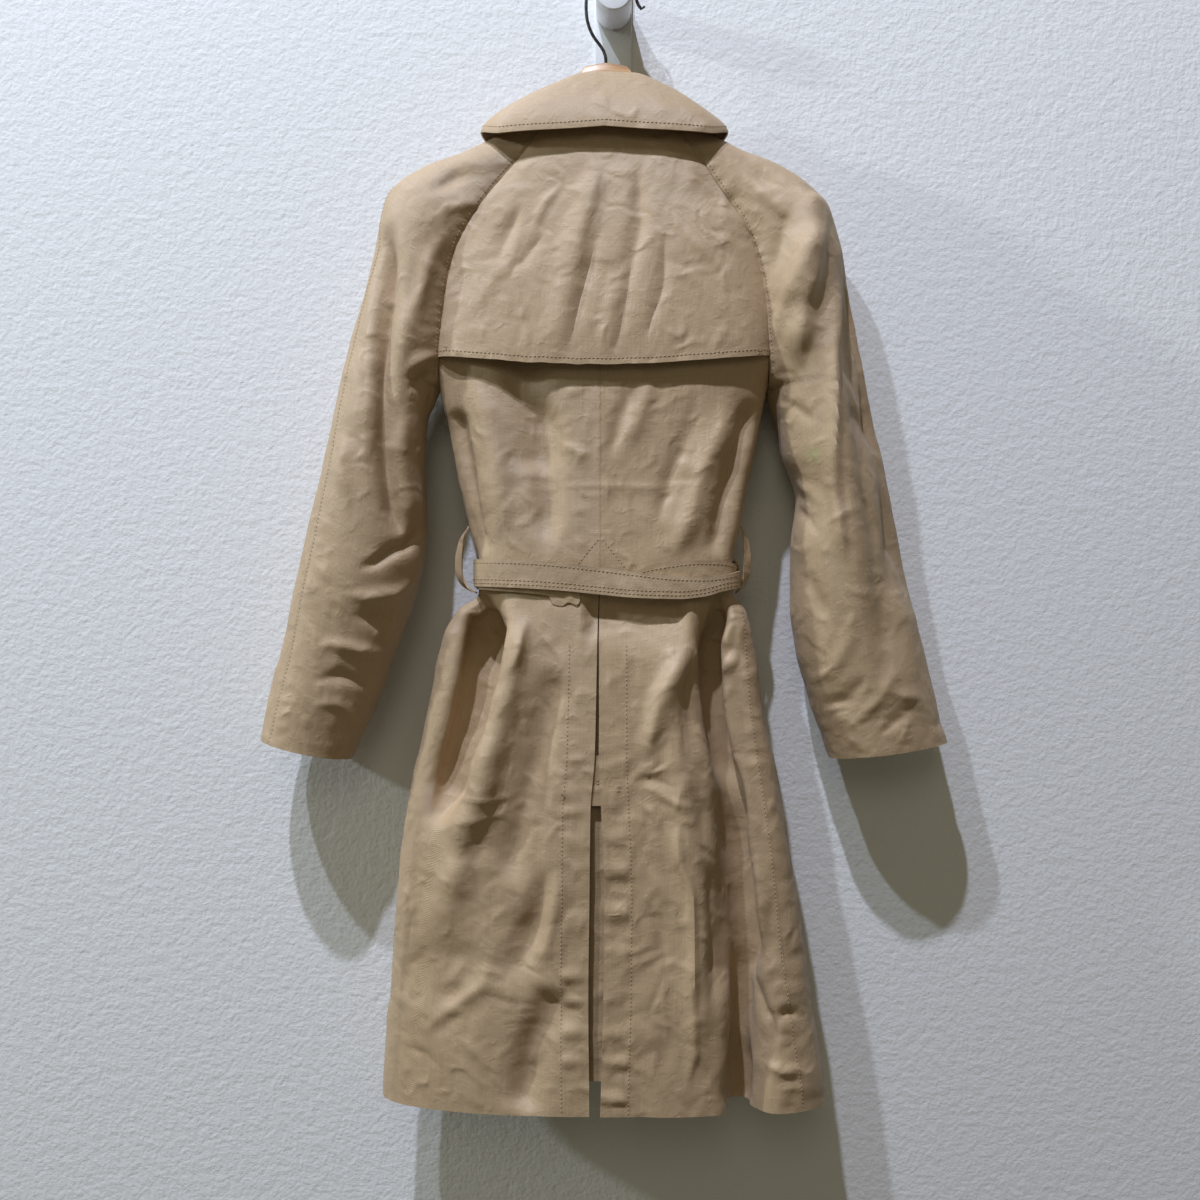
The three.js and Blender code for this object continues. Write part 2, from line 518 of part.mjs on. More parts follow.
function add(name, geometry, look) {
  const mesh = new THREE.Mesh(geometry, new THREE.MeshStandardMaterial(LOOKS[look]));
  mesh.name = name;
  coat.add(mesh);
  return mesh;
}

// ---- The shell: back, fronts and sleeves ----

const bodyRows = [...RAGLAN_Z, ...SIDE_Z];
const sleeveRows = [...RAGLAN_Z, ...SLEEVE_Z];
const shell = {};
for (const [hand, side] of [["left", -1], ["right", 1]]) {
  const armGrid = (face) => sleeveRows.map((z) => sleeveRow(side, z, face));
  shell["back_" + hand] = { grid: bodyRows.map((z) => backRow(side, z)), sign: -side };
  shell["front_" + hand] = { grid: bodyRows.map((z) => frontRow(side, z)), sign: -side };
  shell["sleeve_" + hand + "_back"] = { grid: armGrid("back"), sign: side };
  shell["sleeve_" + hand + "_front"] = { grid: armGrid("front"), sign: -side };
}
const panels = Object.values(shell);
weldNormals(panels);
for (const panel of panels) {
  panel.grid = panel.grid.map((row, r) => row.map((p, c) => {
    const normal = panel.normals[r][c];
    return p.clone().addScaledVector(normal, foldedBy(p, normal));
  }));
}
weldNormals(panels);
for (const [name, panel] of Object.entries(shell)) add(name, wall(panel.grid, panel.normals), "cloth");

// ---- The yoke, the slit and its tab ----

// Rows of both backs in one grid, from the left seam to the right one, moved out by a lift.
function overBacks(firstRow, lastRow, firstColumn, lift) {
  const grid = [];
  for (let r = firstRow; r <= lastRow; r += 1) {
    const half = (name) => shell[name].grid[r].slice(0, firstColumn + 1).map((p, c) => ({
      p, normal: shell[name].normals[r][c], out: c / firstColumn,
    }));
    const row = [...half("back_left").reverse(), ...half("back_right").slice(1)];
    grid.push(row.map(({ p, normal, out }) => p.clone().addScaledVector(normal, lift(out, r))));
  }
  return grid;
}

const backColumns = COLUMNS.inner + COLUMNS.outer;
const yokeLift = (out, r) => {
  const free = (1 - out ** 4) * THREE.MathUtils.smoothstep(r, 3, YOKE.rows);
  return CLOTH + LAYER_GAP + YOKE.proud * free;
};
const yoke = overBacks(0, YOKE.rows, backColumns, yokeLift);
yoke.at(-1).forEach((p) => {
  p.z -= YOKE.bow * (1 - ((p.x - CENTRE_X) / YOKE.halfWidth) ** 2);
});
add("back_yoke", wall(yoke, normalsOf(yoke, 1)), "cloth");

const pleatTop = RAGLAN_Z.length + SIDE_Z.indexOf(PLEAT.top);
const pleatEnd = RAGLAN_Z.length + SIDE_Z.indexOf(PLEAT.bottom);
const pleatLift = (out, r) => {
  const deep = read(SLIT, "z", "pleat", bodyRows[r]);
  return -(CLOTH + PLEAT.clear + (deep - SLIT[0].pleat) * (1 - out ** 2));
};
const pleat = overBacks(pleatTop, pleatEnd, PLEAT.columns, pleatLift);
add("vent_underlay", wall(pleat, normalsOf(pleat, 1)), "cloth");

const tab = [TAB.top, TAB.bottom].map((z) => [TAB.left, TAB.right].map((x) => (
  new THREE.Vector3(x, read(BODY_LEFT, "z", "back", z) + CLOTH + 2 * LAYER_GAP, z)
)));
add("vent_tab", wall(tab, normalsOf(tab, 1), CLOTH, 0), "cloth");

// ---- The collar ----

// The neck edge from the front left round the back to the front right, with a point on each seam.
const neckPieces = [
  { row: shell.front_left.grid[0].toReversed(), steps: 8, from: COLLAR_TRIM, to: 1 },
  { row: shell.sleeve_left_front.grid[0].toReversed(), steps: 1, from: 0, to: 1 },
  { row: shell.sleeve_left_back.grid[0], steps: 1, from: 0, to: 1 },
  { row: shell.back_left.grid[0].toReversed(), steps: 6, from: 0, to: 1 },
  { row: shell.back_right.grid[0], steps: 6, from: 0, to: 1 },
  { row: shell.sleeve_right_back.grid[0].toReversed(), steps: 1, from: 0, to: 1 },
  { row: shell.sleeve_right_front.grid[0], steps: 1, from: 0, to: 1 },
  { row: shell.front_right.grid[0], steps: 8, from: 0, to: 1 - COLLAR_TRIM },
];
const neckEdge = neckPieces.flatMap(({ row, steps, from, to }, piece) => {
  const curve = new THREE.CatmullRomCurve3(row, false, "centripetal");
  return evenly((t) => curve.getPointAt(t), from, to, steps).slice(piece === 0 ? 0 : 1);
});
const neckReach = [0];
for (let i = 1; i < neckEdge.length; i += 1) {
  neckReach.push(neckReach[i - 1] + neckEdge[i].distanceTo(neckEdge[i - 1]));
}
const rolls = neckEdge.map((p, i) => {
  const turn = 2 * (neckReach[i] / neckReach.at(-1)) - 1;
  const get = (name) => read(COLLAR, "at", name, Math.abs(turn));
  return p.clone().add(new THREE.Vector3(-Math.sign(turn) * get("rollIn"), get("rollY"), get("rollUp")));
});
const stand = [[], [], []];
const fall = [[], [], [], [], [], []];
for (const [i, roll] of rolls.entries()) {
  const turn = 2 * (neckReach[i] / neckReach.at(-1)) - 1;
  const get = (name) => read(COLLAR, "at", name, Math.abs(turn));
  const edge = new THREE.Vector3(COLLAR_X + Math.sign(turn) * get("edgeOut"), get("edgeY"), get("edgeZ"));
  const up = roll.clone().sub(neckEdge[i]).normalize();
  const foot = neckEdge[i].clone().addScaledVector(up, STAND_LIFT);
  stand.forEach((row, r) => row.push(foot.clone().lerp(roll, r / (stand.length - 1))));
  const along = rolls[Math.min(i + 1, rolls.length - 1)].clone().sub(rolls[Math.max(i - 1, 0)]);
  const outward = along.cross(up).setZ(0).normalize();
  const start = roll.clone().addScaledVector(up, CLOTH / 2 + 5 * SEAM_GAP);
  const rollOut = THREE.MathUtils.lerp(ROLL_OUT, ROLL_OUT_FRONT, Math.abs(turn));
  const shoulder = start.clone().addScaledVector(outward, rollOut);
  const drop = edge.clone().add(new THREE.Vector3(0, 0, 0.45 * (start.z - edge.z)));
  const over = new THREE.CubicBezierCurve3(start, shoulder, drop, edge);
  fall.forEach((row, r) => row.push(over.getPoint(r / (fall.length - 1))));
}
add("collar_stand", wall(stand, normalsOf(stand, -1)), "cloth");
const fallShort = fall.map((row) => row.slice(1, -1));
add("collar_fall", wall(fallShort, normalsOf(fallShort, 1)), "cloth");

// ---- The belt, its knot, ends and loops ----

function beltRing() {
  const half = (side) => evenly((a) => bodyPoint(side, BELT.z, a), 0, Math.PI, BELT.steps);
  const ring = [...half(-1), ...half(1).toReversed().slice(1, -1)];
  return ring.map((p, i) => {
    const before = ring.at(i - 1);
    const after = ring[(i + 1) % ring.length];
    const out = new THREE.Vector3(before.y - after.y, after.x - before.x, 0).normalize();
    const sag = p.y < -60 ? BELT.sag * Math.exp(-(((p.x - BELT.sagX) / BELT.sagWide) ** 2)) : 0;
    const far = CLOTH / 2 + BELT.clear + BELT.cloth / 2;
    const middle = p.clone().addScaledVector(out, far).setZ(BELT.z + BELT.rise - sag);
    const corner = (dy, dz) => middle.clone().addScaledVector(out, dy).add(new THREE.Vector3(0, 0, dz));
    const t = BELT.cloth / 2;
    const h = BELT.height / 2;
    return [corner(-t, -h), corner(t, -h), corner(t, 0), corner(t, h), corner(-t, h), corner(-t, 0)];
  });
}
add("belt", loft(beltRing(), true), "cloth");

const frontOut = (z) => read(BODY_LEFT, "z", "front", z) + OVERLAP_LIFT + CLOTH / 2;
const knot = new THREE.SphereGeometry(1, 12, 8);
knot.scale(KNOT.halfWidth, KNOT.halfDepth, KNOT.halfHeight);
const beltFace = read(BODY_LEFT, "z", "front", BELT.z) + CLOTH / 2 + BELT.clear + BELT.cloth;
const knotY = beltFace + SEAM_GAP + KNOT.halfDepth;
add("belt_knot", knot, "cloth").position.set(CENTRE_X, knotY, BELT.z + BELT.rise);
for (const [name, side] of [["belt_tail_left", -1], ["belt_tail_right", 1]]) {
  const grid = TAIL.rows.map((z) => [-1, 0, 1].map((across) => new THREE.Vector3(
    CENTRE_X + side * (TAIL.apart + TAIL.spread * (z - TAIL.rows[0])) + (across * BELT.height) / 2,
    frontOut(z) + 2 * LAYER_GAP + BELT.cloth / 2,
    z,
  )));
  add(name, wall(grid, normalsOf(grid, -1), BELT.cloth, 0), "cloth");
}

for (const [name, path] of Object.entries(LOOP_PATHS)) {
  const curve = new THREE.CatmullRomCurve3(path.map(([x, z]) => new THREE.Vector3(x, LOOP.y, z)));
  const half = LOOP.width / 2;
  const hand = Math.sign(path[0][0]);
  const grid = curve.getPoints(LOOP.steps).map((p, i) => {
    const twist = THREE.MathUtils.degToRad(LOOP.twist) * Math.sin((Math.PI * i) / LOOP.steps);
    const across = new THREE.Vector3(hand * Math.sin(twist), Math.cos(twist), 0);
    return [-half, half].map((far) => p.clone().addScaledVector(across, far));
  });
  add(name, wall(grid, normalsOf(grid, 1), LOOP.cloth, 0), "cloth");
}

// ---- Buttons ----

for (let i = 0; i < BUTTON.count; i += 1) {
  const z = BUTTON.first - i * BUTTON.pitch;
  const y = frontOut(z) + LAYER_GAP + SEAM_GAP + BUTTON.thick / 2;
  const disc = new THREE.CylinderGeometry(BUTTON.radius, BUTTON.radius, BUTTON.thick, 16);
  add("button_" + (i + 1), disc, "button").position.set(CENTRE_X, y, z);
}

// ---- The hanger, its hook, and the wall hook ----

// Half a rounded section of the hanger at a distance from its middle.
const armRings = [];
const lastArm = HANGER_ARM.at(-1).out;
for (let i = -HANGER.steps; i <= HANGER.steps; i += 1) {
  const out = (lastArm * Math.abs(i)) / HANGER.steps;
  const top = read(HANGER_ARM, "out", "top", out);
  const bottom = read(HANGER_ARM, "out", "bottom", out);
  const t = HANGER.thick / 2;
  const ring = [
    [-t, -0.28], [-t, 0.28], [-t / 2, 0.5], [t / 2, 0.5],
    [t, 0.28], [t, -0.28], [t / 2, -0.5], [-t / 2, -0.5],
  ];
  armRings.push(ring.map(([y, h]) => new THREE.Vector3(
    HANGER.x + Math.sign(i) * out, HANGER.y + y, (top + bottom) / 2 + h * (top - bottom),
  )));
}
add("hanger_wood", loft(armRings), "wood");

const hookPoints = HOOK_PATH.map(([x, z]) => new THREE.Vector3(x, HANGER.y, z));
const extrudePath = new THREE.CatmullRomCurve3(hookPoints, false, "centripetal");
const wireRound = new THREE.Shape().absarc(0, 0, WIRE_RADIUS, 0, 2 * Math.PI);
const wire = new THREE.ExtrudeGeometry(wireRound, { steps: 40, curveSegments: 4, extrudePath });
add("hanger_hook", wire, "wire");

const plateShape = new THREE.Shape();
plateShape.moveTo(-PEG.plateWidth / 2, PEG.plateBottom).lineTo(PEG.plateWidth / 2, PEG.plateBottom);
plateShape.lineTo(PEG.plateWidth / 2, PEG.plateTop).lineTo(-PEG.plateWidth / 2, PEG.plateTop);
const plate = new THREE.ExtrudeGeometry(plateShape, { depth: PEG.plate, bevelEnabled: false });
plate.rotateX(Math.PI / 2);
add("wall_plate", plate, "white");

const pegProfile = [[0, 0], [1, 0], [1, 0.95], [0.94, 1], [0, 1]].map(([r, l]) => (
  new THREE.Vector2(r * PEG.radius, l * (PEG.length - PEG.plate))
));
const peg = new THREE.LatheGeometry(pegProfile, 32);
peg.rotateX(Math.PI);
add("wall_peg", peg, "white").position.y = -PEG.plate;

export default coat;
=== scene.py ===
# %% [markdown]
# # A belted trench coat on a hanger
# The coat hangs with its back to the room: eight panels of cotton gabardine, a storm yoke, a slit with a pleat,
# a collar and a belt. Every panel is one sheet of cloth, so it is made as a grid of points worked out from
# the coat's own sizes, and a fold is a soft lift of that grid. Drawing each fold by hand in a modelling window
# would give the same cloth, but a table of folds can be read and changed one row at a time.

import math

import bpy
import numpy as np
from mathutils import Matrix, Vector
from mathutils.bvhtree import BVHTree


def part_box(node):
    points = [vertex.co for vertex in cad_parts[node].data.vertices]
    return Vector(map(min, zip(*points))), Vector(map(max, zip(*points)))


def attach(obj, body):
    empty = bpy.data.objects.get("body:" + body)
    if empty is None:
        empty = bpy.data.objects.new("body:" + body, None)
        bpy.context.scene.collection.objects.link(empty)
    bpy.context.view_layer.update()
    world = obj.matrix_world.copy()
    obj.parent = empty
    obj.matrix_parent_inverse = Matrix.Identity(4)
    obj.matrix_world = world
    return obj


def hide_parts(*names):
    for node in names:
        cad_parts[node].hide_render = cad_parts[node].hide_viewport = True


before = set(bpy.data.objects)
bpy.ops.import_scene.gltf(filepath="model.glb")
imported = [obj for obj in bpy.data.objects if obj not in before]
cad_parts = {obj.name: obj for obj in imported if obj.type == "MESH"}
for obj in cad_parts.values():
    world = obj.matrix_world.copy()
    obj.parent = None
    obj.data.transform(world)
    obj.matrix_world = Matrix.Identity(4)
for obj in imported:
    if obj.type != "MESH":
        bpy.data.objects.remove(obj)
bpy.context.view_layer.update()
bpy.ops.object.select_all(action="DESELECT")
print("frame nodes:", len(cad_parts))

# %% [markdown]
# The camera comes first, because the creases on the back are placed in its view. It stands level with the
# coat's middle and looks straight at the wall. The view is 1200 units wide, and a unit is about a millimetre
# on the cloth.

# %% Camera
MM = 0.001
EYE = {"x": -14.0, "y": -1270.0, "z": -619.0}
VIEW = 1200.0

camera_data = bpy.data.cameras.new("camera")
camera_data.sensor_width = 36
camera_data.lens = 36
camera = bpy.data.objects.new("camera", camera_data)
camera.location = (EYE["x"] * MM, EYE["y"] * MM, EYE["z"] * MM)
camera.rotation_euler = (math.radians(90), 0, 0)
bpy.context.scene.collection.objects.link(camera)
bpy.context.scene.camera = camera


def seen(points):
    """Where points in millimetres show in the view, as columns across and down."""
    far = points[..., 1] - EYE["y"]
    across = VIEW / 2 + (points[..., 0] - EYE["x"]) * VIEW / far
    down = VIEW / 2 - (points[..., 2] - EYE["z"]) * VIEW / far
    return np.stack([across, down], axis=-1)


print("camera at", tuple(round(v, 3) for v in camera.location))

# %% [markdown]
# ## Reading a table
# The coat's sizes stand in tables with a row for each height. A curve through the rows has to be smooth, but it
# may not swing past them as a plain spline does, or a waist would bulge. A cubic whose slope is the harmonic
# mean of its neighbours never overshoots.


# %% Tables and even spacing
def read(table, name, at, key="z"):
    """A column of a table at a key between its rows."""
    keys = np.array([row[key] for row in table], float)
    values = np.array([row[name] for row in table], float)
    if keys[0] > keys[-1]:
        keys, values = keys[::-1], values[::-1]
    slopes = np.diff(values) / np.diff(keys)
    tangents = np.concatenate([slopes[:1], np.zeros(len(keys) - 2), slopes[-1:]])
    product = slopes[:-1] * slopes[1:]
    total = np.where(product > 0, slopes[:-1] + slopes[1:], 1)
    tangents[1:-1] = np.where(product > 0, 2 * product / total, 0)
    at = np.asarray(at, float)
    i = np.clip(np.searchsorted(keys, at, side="right") - 1, 0, len(keys) - 2)
    span = keys[i + 1] - keys[i]
    t = np.clip((at - keys[i]) / span, 0, 1)
    here = values[i] * (1 + 2 * t) * (1 - t) ** 2
    after = values[i + 1] * t * t * (3 - 2 * t)
    turning = tangents[i] * t * (1 - t) ** 2 - tangents[i + 1] * t * t * (1 - t)
    return here + after + span * turning


def smooth(x, low, high):
    t = np.clip((x - low) / (high - low), 0, 1)
    return t * t * (3 - 2 * t)


def reach_of(line):
    """How far along a line each of its points lies."""
    return np.concatenate([[0], np.cumsum(np.linalg.norm(np.diff(line, axis=0), axis=1))])


def length_of(path):
    return np.linalg.norm(np.diff(np.array(path, float), axis=0), axis=1).sum()


def evenly(lines, count):
    """Each line of points, one a row, walked again in count even steps."""
    steps = np.linalg.norm(np.diff(lines, axis=1), axis=2)
    reach = np.concatenate([np.zeros((len(lines), 1)), np.cumsum(steps, axis=1)], axis=1)
    rows = []
    for line, far in zip(lines, reach):
        want = np.linspace(0, far[-1], count + 1)
        rows.append(np.stack([np.interp(want, far, line[:, k]) for k in range(3)], axis=1))
    return np.array(rows)


# %% [markdown]
# ## The body
# At each height the body's section is a rounded box, a superellipse, whose half width, depth and squareness
# come from the table. Seam is where the raglan or side seam runs, and fold is the deep side fold. All of the
# sizes are in millimetres.

# %% The body's sizes
CLOTH = 1.6
SEAM_GAP = 0.4
SEAM_SHOWN = 0.28
UNDERARM_GAP = 4.0
UNDERARM_OPENING = 6.0
LAYER_GAP = 0.5
CENTRE_X = -14.0
HEM_Z = -1112.0
UNDERARM_Z = -403.0
CUFF_Z = -779.0
NECK_Z = -130.0
NECK_FRONT_Z = -218.0
OVERLAP = 22.0
OVERLAP_LIFT = 1.5

COLUMNS = ("z", "edge", "seam", "fold", "back", "front", "square")
BODY_LEFT = [dict(zip(COLUMNS, row)) for row in (
    (-130, -82, -64, -48, -66, -24, 2.4),
    (-165, -99, -84, -62, -73, -22, 2.6),
    (-200, -127, -113, -86, -78, -19, 2.8),
    (-245, -156, -145, -112, -83, -16, 3),
    (-285, -170, -163, -130, -86, -14, 3),
    (-330, -181, -170, -145, -88, -13, 3),
    (-370, -183, -174, -154, -89, -12, 3),
    (-403, -176, -176, -158, -90, -12, 3),
    (-450, -166, -166, -152, -91, -14, 3),
    (-500, -156, -156, -143, -93, -17, 3.2),
    (-550, -142, -142, -131, -97, -20, 3.4),
    (-580, -134, -134, -121, -99, -23, 3.4),
    (-613, -135, -135, -122, -100, -23, 3.2),
    (-630, -156, -156, -127, -103, -20, 2.8),
    (-668, -174, -174, -134, -107, -15, 2.6),
    (-708, -182, -182, -143, -111, -12, 2.5),
    (-786, -199, -199, -163, -116, -9, 2.4),
    (-865, -212, -212, -186, -120, -8, 2.3),
    (-963, -220, -220, -196, -123, -7, 2.2),
    (-1060, -227, -227, -204, -125, -7, 2.2),
    (-1112, -230, -230, -207, -126, -7, 2.2),
)]
RIGHT_COLUMNS = ("z", "edge", "seam", "fold", "square")
BODY_RIGHT = [dict(zip(RIGHT_COLUMNS, row)) for row in (
    (-130, 66, 49, 34, 2.4),
    (-165, 91, 76, 56, 2.6),
    (-200, 113, 100, 74, 2.8),
    (-245, 139, 129, 96, 3),
    (-285, 152, 144, 112, 3),
    (-330, 164, 151, 126, 3),
    (-370, 166, 154, 134, 3),
    (-403, 155, 155, 138, 3),
    (-450, 145, 145, 129, 3),
    (-500, 134, 134, 115, 3.2),
    (-550, 125, 125, 103, 3.4),
    (-580, 118, 118, 98, 3.6),
    (-613, 119, 118, 98, 3.8),
    (-630, 131, 127, 98, 4),
    (-668, 140, 131, 100, 4),
    (-708, 145, 134, 103, 4),
    (-786, 160, 144, 113, 4),
    (-865, 174, 154, 126, 4),
    (-963, 188, 164, 131, 4),
    (-1060, 201, 177, 130, 4),
    (-1112, 209, 184, 127, 4),
)]
SLIT_COLUMNS = ("z", "left", "right", "pleat")
SLIT = [dict(zip(SLIT_COLUMNS, row)) for row in (
    (-597, 0, 0, 2.2),
    (-640, -2, -1, 4),
    (-770, -5, -1, 8),
    (-822, -9, 1, 10),
    (-905, -10, 4, 11),
    (-1000, -11, 3, 11),
    (-1112, -10, 0, 11),
)]
LEFT, RIGHT = -1, 1
FINE = 400
print("body rows:", len(BODY_LEFT), len(BODY_RIGHT))


# %% Points on the body
def body_table(side):
    return BODY_LEFT if side == LEFT else BODY_RIGHT


def body_point(side, z, angle):
    """A point at a height, round from the centre back (angle 0) to the centre front (pi)."""
    table = body_table(side)
    half = side * (read(table, "edge", z) - CENTRE_X)
    power = 2 / read(table, "square", z)
    back, front = read(BODY_LEFT, "back", z), read(BODY_LEFT, "front", z)
    middle = (back + front) / 2
    across = np.abs(np.sin(angle)) ** power
    deep = np.abs(np.cos(angle)) ** power
    y = middle + np.where(np.cos(angle) >= 0, back - middle, front - middle) * deep
    return np.stack([CENTRE_X + side * half * across, y, np.broadcast_to(z, y.shape)], axis=-1)


def body_angle(side, z, name):
    """The angle at which the section reaches a column's x on its back."""
    table = body_table(side)
    half = read(table, "edge", z) - CENTRE_X
    ratio = np.minimum(1, (read(table, name, z) - CENTRE_X) / half)
    return np.arcsin(ratio ** (read(table, "square", z) / 2))


def between(start, end, count=FINE):
    """Even values from start to end, one row for each of them."""
    t = np.linspace(0, 1, count + 1)
    return start[:, None] + (end - start)[:, None] * t


def back_panel(side, heights, inner, outer):
    z = heights[:, None]
    fold, seam = body_angle(side, heights, "fold"), body_angle(side, heights, "seam")
    near = evenly(body_point(side, z, between(0 * fold, fold)), inner)
    far = evenly(body_point(side, z, between(fold, seam)), outer)
    grid = np.concatenate([near, far[:, 1:]], axis=1)
    slit_edge = read(SLIT, "left" if side == LEFT else "right", heights)
    edge = np.where(heights > SLIT[0]["z"], 0, slit_edge)
    share = np.clip(1 - np.arange(inner + outer + 1) / inner, 0, 1) ** 2
    grid[..., 0] += edge[:, None] * share
    return grid


def front_panel(side, heights, count):
    """From the seam to the free edge past the centre front. The right front lies outside."""
    seam = body_angle(side, heights, "seam")
    start = np.where(heights > UNDERARM_Z, math.pi - seam, seam)
    centre = HEM_Z + (heights - HEM_Z) * (NECK_FRONT_Z - HEM_Z) / (NECK_Z - HEM_Z)
    t = np.linspace(0, 1, FINE + 1)
    z = heights[:, None] + (centre - heights)[:, None] * smooth(t, 0, 1)
    angle = start[:, None] + (math.pi - start)[:, None] * t
    grid = evenly(body_point(side, z, angle), count)
    t = np.linspace(0, 1, count + 1)
    grid[..., 0] -= side * OVERLAP * smooth(t, 0.2, 1)
    grid[..., 1] += side * OVERLAP_LIFT * smooth(t, 0.35, 0.8)
    return grid


# %% [markdown]
# ## The sleeves
# A raglan sleeve has two pieces. Each is half of an oval tube, from the overarm seam round to the raglan seam,
# and below the armpit round to the underarm seam. The tube's outer edge is the silhouette, which the table gives.

# %% The sleeves' sizes
SLEEVE_COLUMNS = ("z", "innerX", "outerX", "outerZ", "middle", "back", "front", "over")
SLEEVE_LEFT = [dict(zip(SLEEVE_COLUMNS, row)) for row in (
    (-130, -64, -79, -130, -43, -58, -29, 8),
    (-165, -84, -145, -160, -42, -66, -27, 8),
    (-200, -113, -197, -180, -42, -74, -22, 8),
    (-245, -145, -231, -209, -44, -82, -17, 12),
    (-285, -163, -241, -256, -47, -88, -13, 20),
    (-330, -170, -253, -314, -50, -92, -11, 26),
    (-370, -174, -266, -358, -52, -96, -10, 32),
    (-403, -176, -275, -400, -52, -99, -9, 36),
    (-440, -189, -284, -441, -54, -102, -8, 38),
    (-487, -192, -294, -490, -55, -104, -8, 40),
    (-535, -190, -306, -538, -56, -106, -8, 40),
    (-580, -193, -316, -584, -56, -106, -8, 40),
    (-620, -204, -325, -622, -56, -104, -8, 40),
    (-660, -217, -332, -660, -56, -102, -8, 41),
    (-701, -232, -342, -698, -55, -100, -9, 43),
    (-779, -266, -355, -759, -54, -98, -10, 45),
)]
SLEEVE_RIGHT = [dict(zip(SLEEVE_COLUMNS, row)) for row in (
    (-130, 49, 61, -130, -43, -58, -29, 0),
    (-165, 76, 124, -158, -42, -66, -27, 0),
    (-200, 100, 178, -182, -42, -74, -22, 0),
    (-245, 129, 214, -214, -44, -82, -17, 0),
    (-285, 144, 231, -262, -42, -88, -13, 0),
    (-330, 151, 242, -318, -42, -92, -11, 0),
    (-370, 154, 250, -360, -42, -96, -10, 0),
    (-403, 155, 258, -402, -41, -98, -9, 0),
    (-440, 166, 266, -444, -41, -100, -8, 0),
    (-472, 172, 274, -476, -41, -102, -8, 0),
    (-517, 187, 282, -518, -41, -102, -8, 0),
    (-568, 181, 292, -572, -42, -102, -9, 0),
    (-619, 181, 302, -619, -43, -100, -10, 0),
    (-670, 187, 314, -668, -45, -96, -14, 0),
    (-726, 201, 326, -722, -48, -92, -20, 0),
    (-779, 218, 336, -763, -50, -88, -25, 0),
)]
print("sleeve rows:", len(SLEEVE_LEFT), len(SLEEVE_RIGHT))


# %% Points on a sleeve
def half_tube(side, face, heights, get, outer):
    """Where one half of the tube meets the body, its depth, the turn at which it ends, and its shift."""
    seam = body_angle(side, heights, "seam")
    on_seam = body_point(side, heights, seam if face == "back" else math.pi - seam)
    free = np.stack([get["innerX"], outer[:, 1], heights], axis=-1)
    inner = np.where((heights < UNDERARM_Z)[:, None], free, on_seam)
    sign = -1 if face == "back" else 1
    set_in = sign * (inner[:, 1] - outer[:, 1])
    depth = np.maximum(sign * (get[face] - outer[:, 1]), set_in)
    end = math.pi - np.arcsin(np.clip(set_in / depth, 0, 1))
    return inner, depth, end, np.cos(end) / (np.cos(end) - 1)


def on_tube(inner, outer, depth, shift, turn):
    """Points at a turn round the tube. A depth below zero is towards the room."""
    t = shift[:, None] + (1 - shift)[:, None] * np.cos(turn)
    points = inner[:, None] + (outer - inner)[:, None] * t[..., None]
    points[..., 1] = outer[:, 1:2] + depth[:, None] * np.sin(turn)
    return points


def sleeve_panel(side, face, heights, count):
    table = SLEEVE_LEFT if side == LEFT else SLEEVE_RIGHT
    get = {name: read(table, name, heights) for name in SLEEVE_COLUMNS[1:]}
    outer = np.stack([get["outerX"], get["middle"], get["outerZ"]], axis=-1)
    inner, depth, end, shift = half_tube(side, face, heights, get, outer)
    over = np.radians(get["over"])
    if face == "back":
        points = on_tube(inner, outer, -depth, shift, between(over, end))
    else:
        # The overarm seam lies round to the back, so the front half starts behind the tube's outer edge.
        turn = between(-over, end)
        points = on_tube(inner, outer, depth, shift, turn)
        inner, depth, _, shift = half_tube(side, "back", heights, get, outer)
        points = np.where((turn < 0)[..., None], on_tube(inner, outer, depth, shift, turn), points)
    grid = evenly(points, count)
    opening = UNDERARM_OPENING * np.exp(-(((heights - UNDERARM_Z) / 26) ** 2))
    t = 1 - np.arange(count + 1) / count
    grid[..., 0] += side * opening[:, None] * smooth(t, 0, 0.12) * smooth(1 - t, 0, 0.5)
    return grid


# %% [markdown]
# ## Folds and creases
# A fold is a path over one face of the coat, with a width, and a lift at its start and at its end. The cloth is
# moved along its own normal by a bell curve across that path. The large folds are given in millimetres as
# x and z. The creases of the back are given in the camera's view, where they can be judged best.

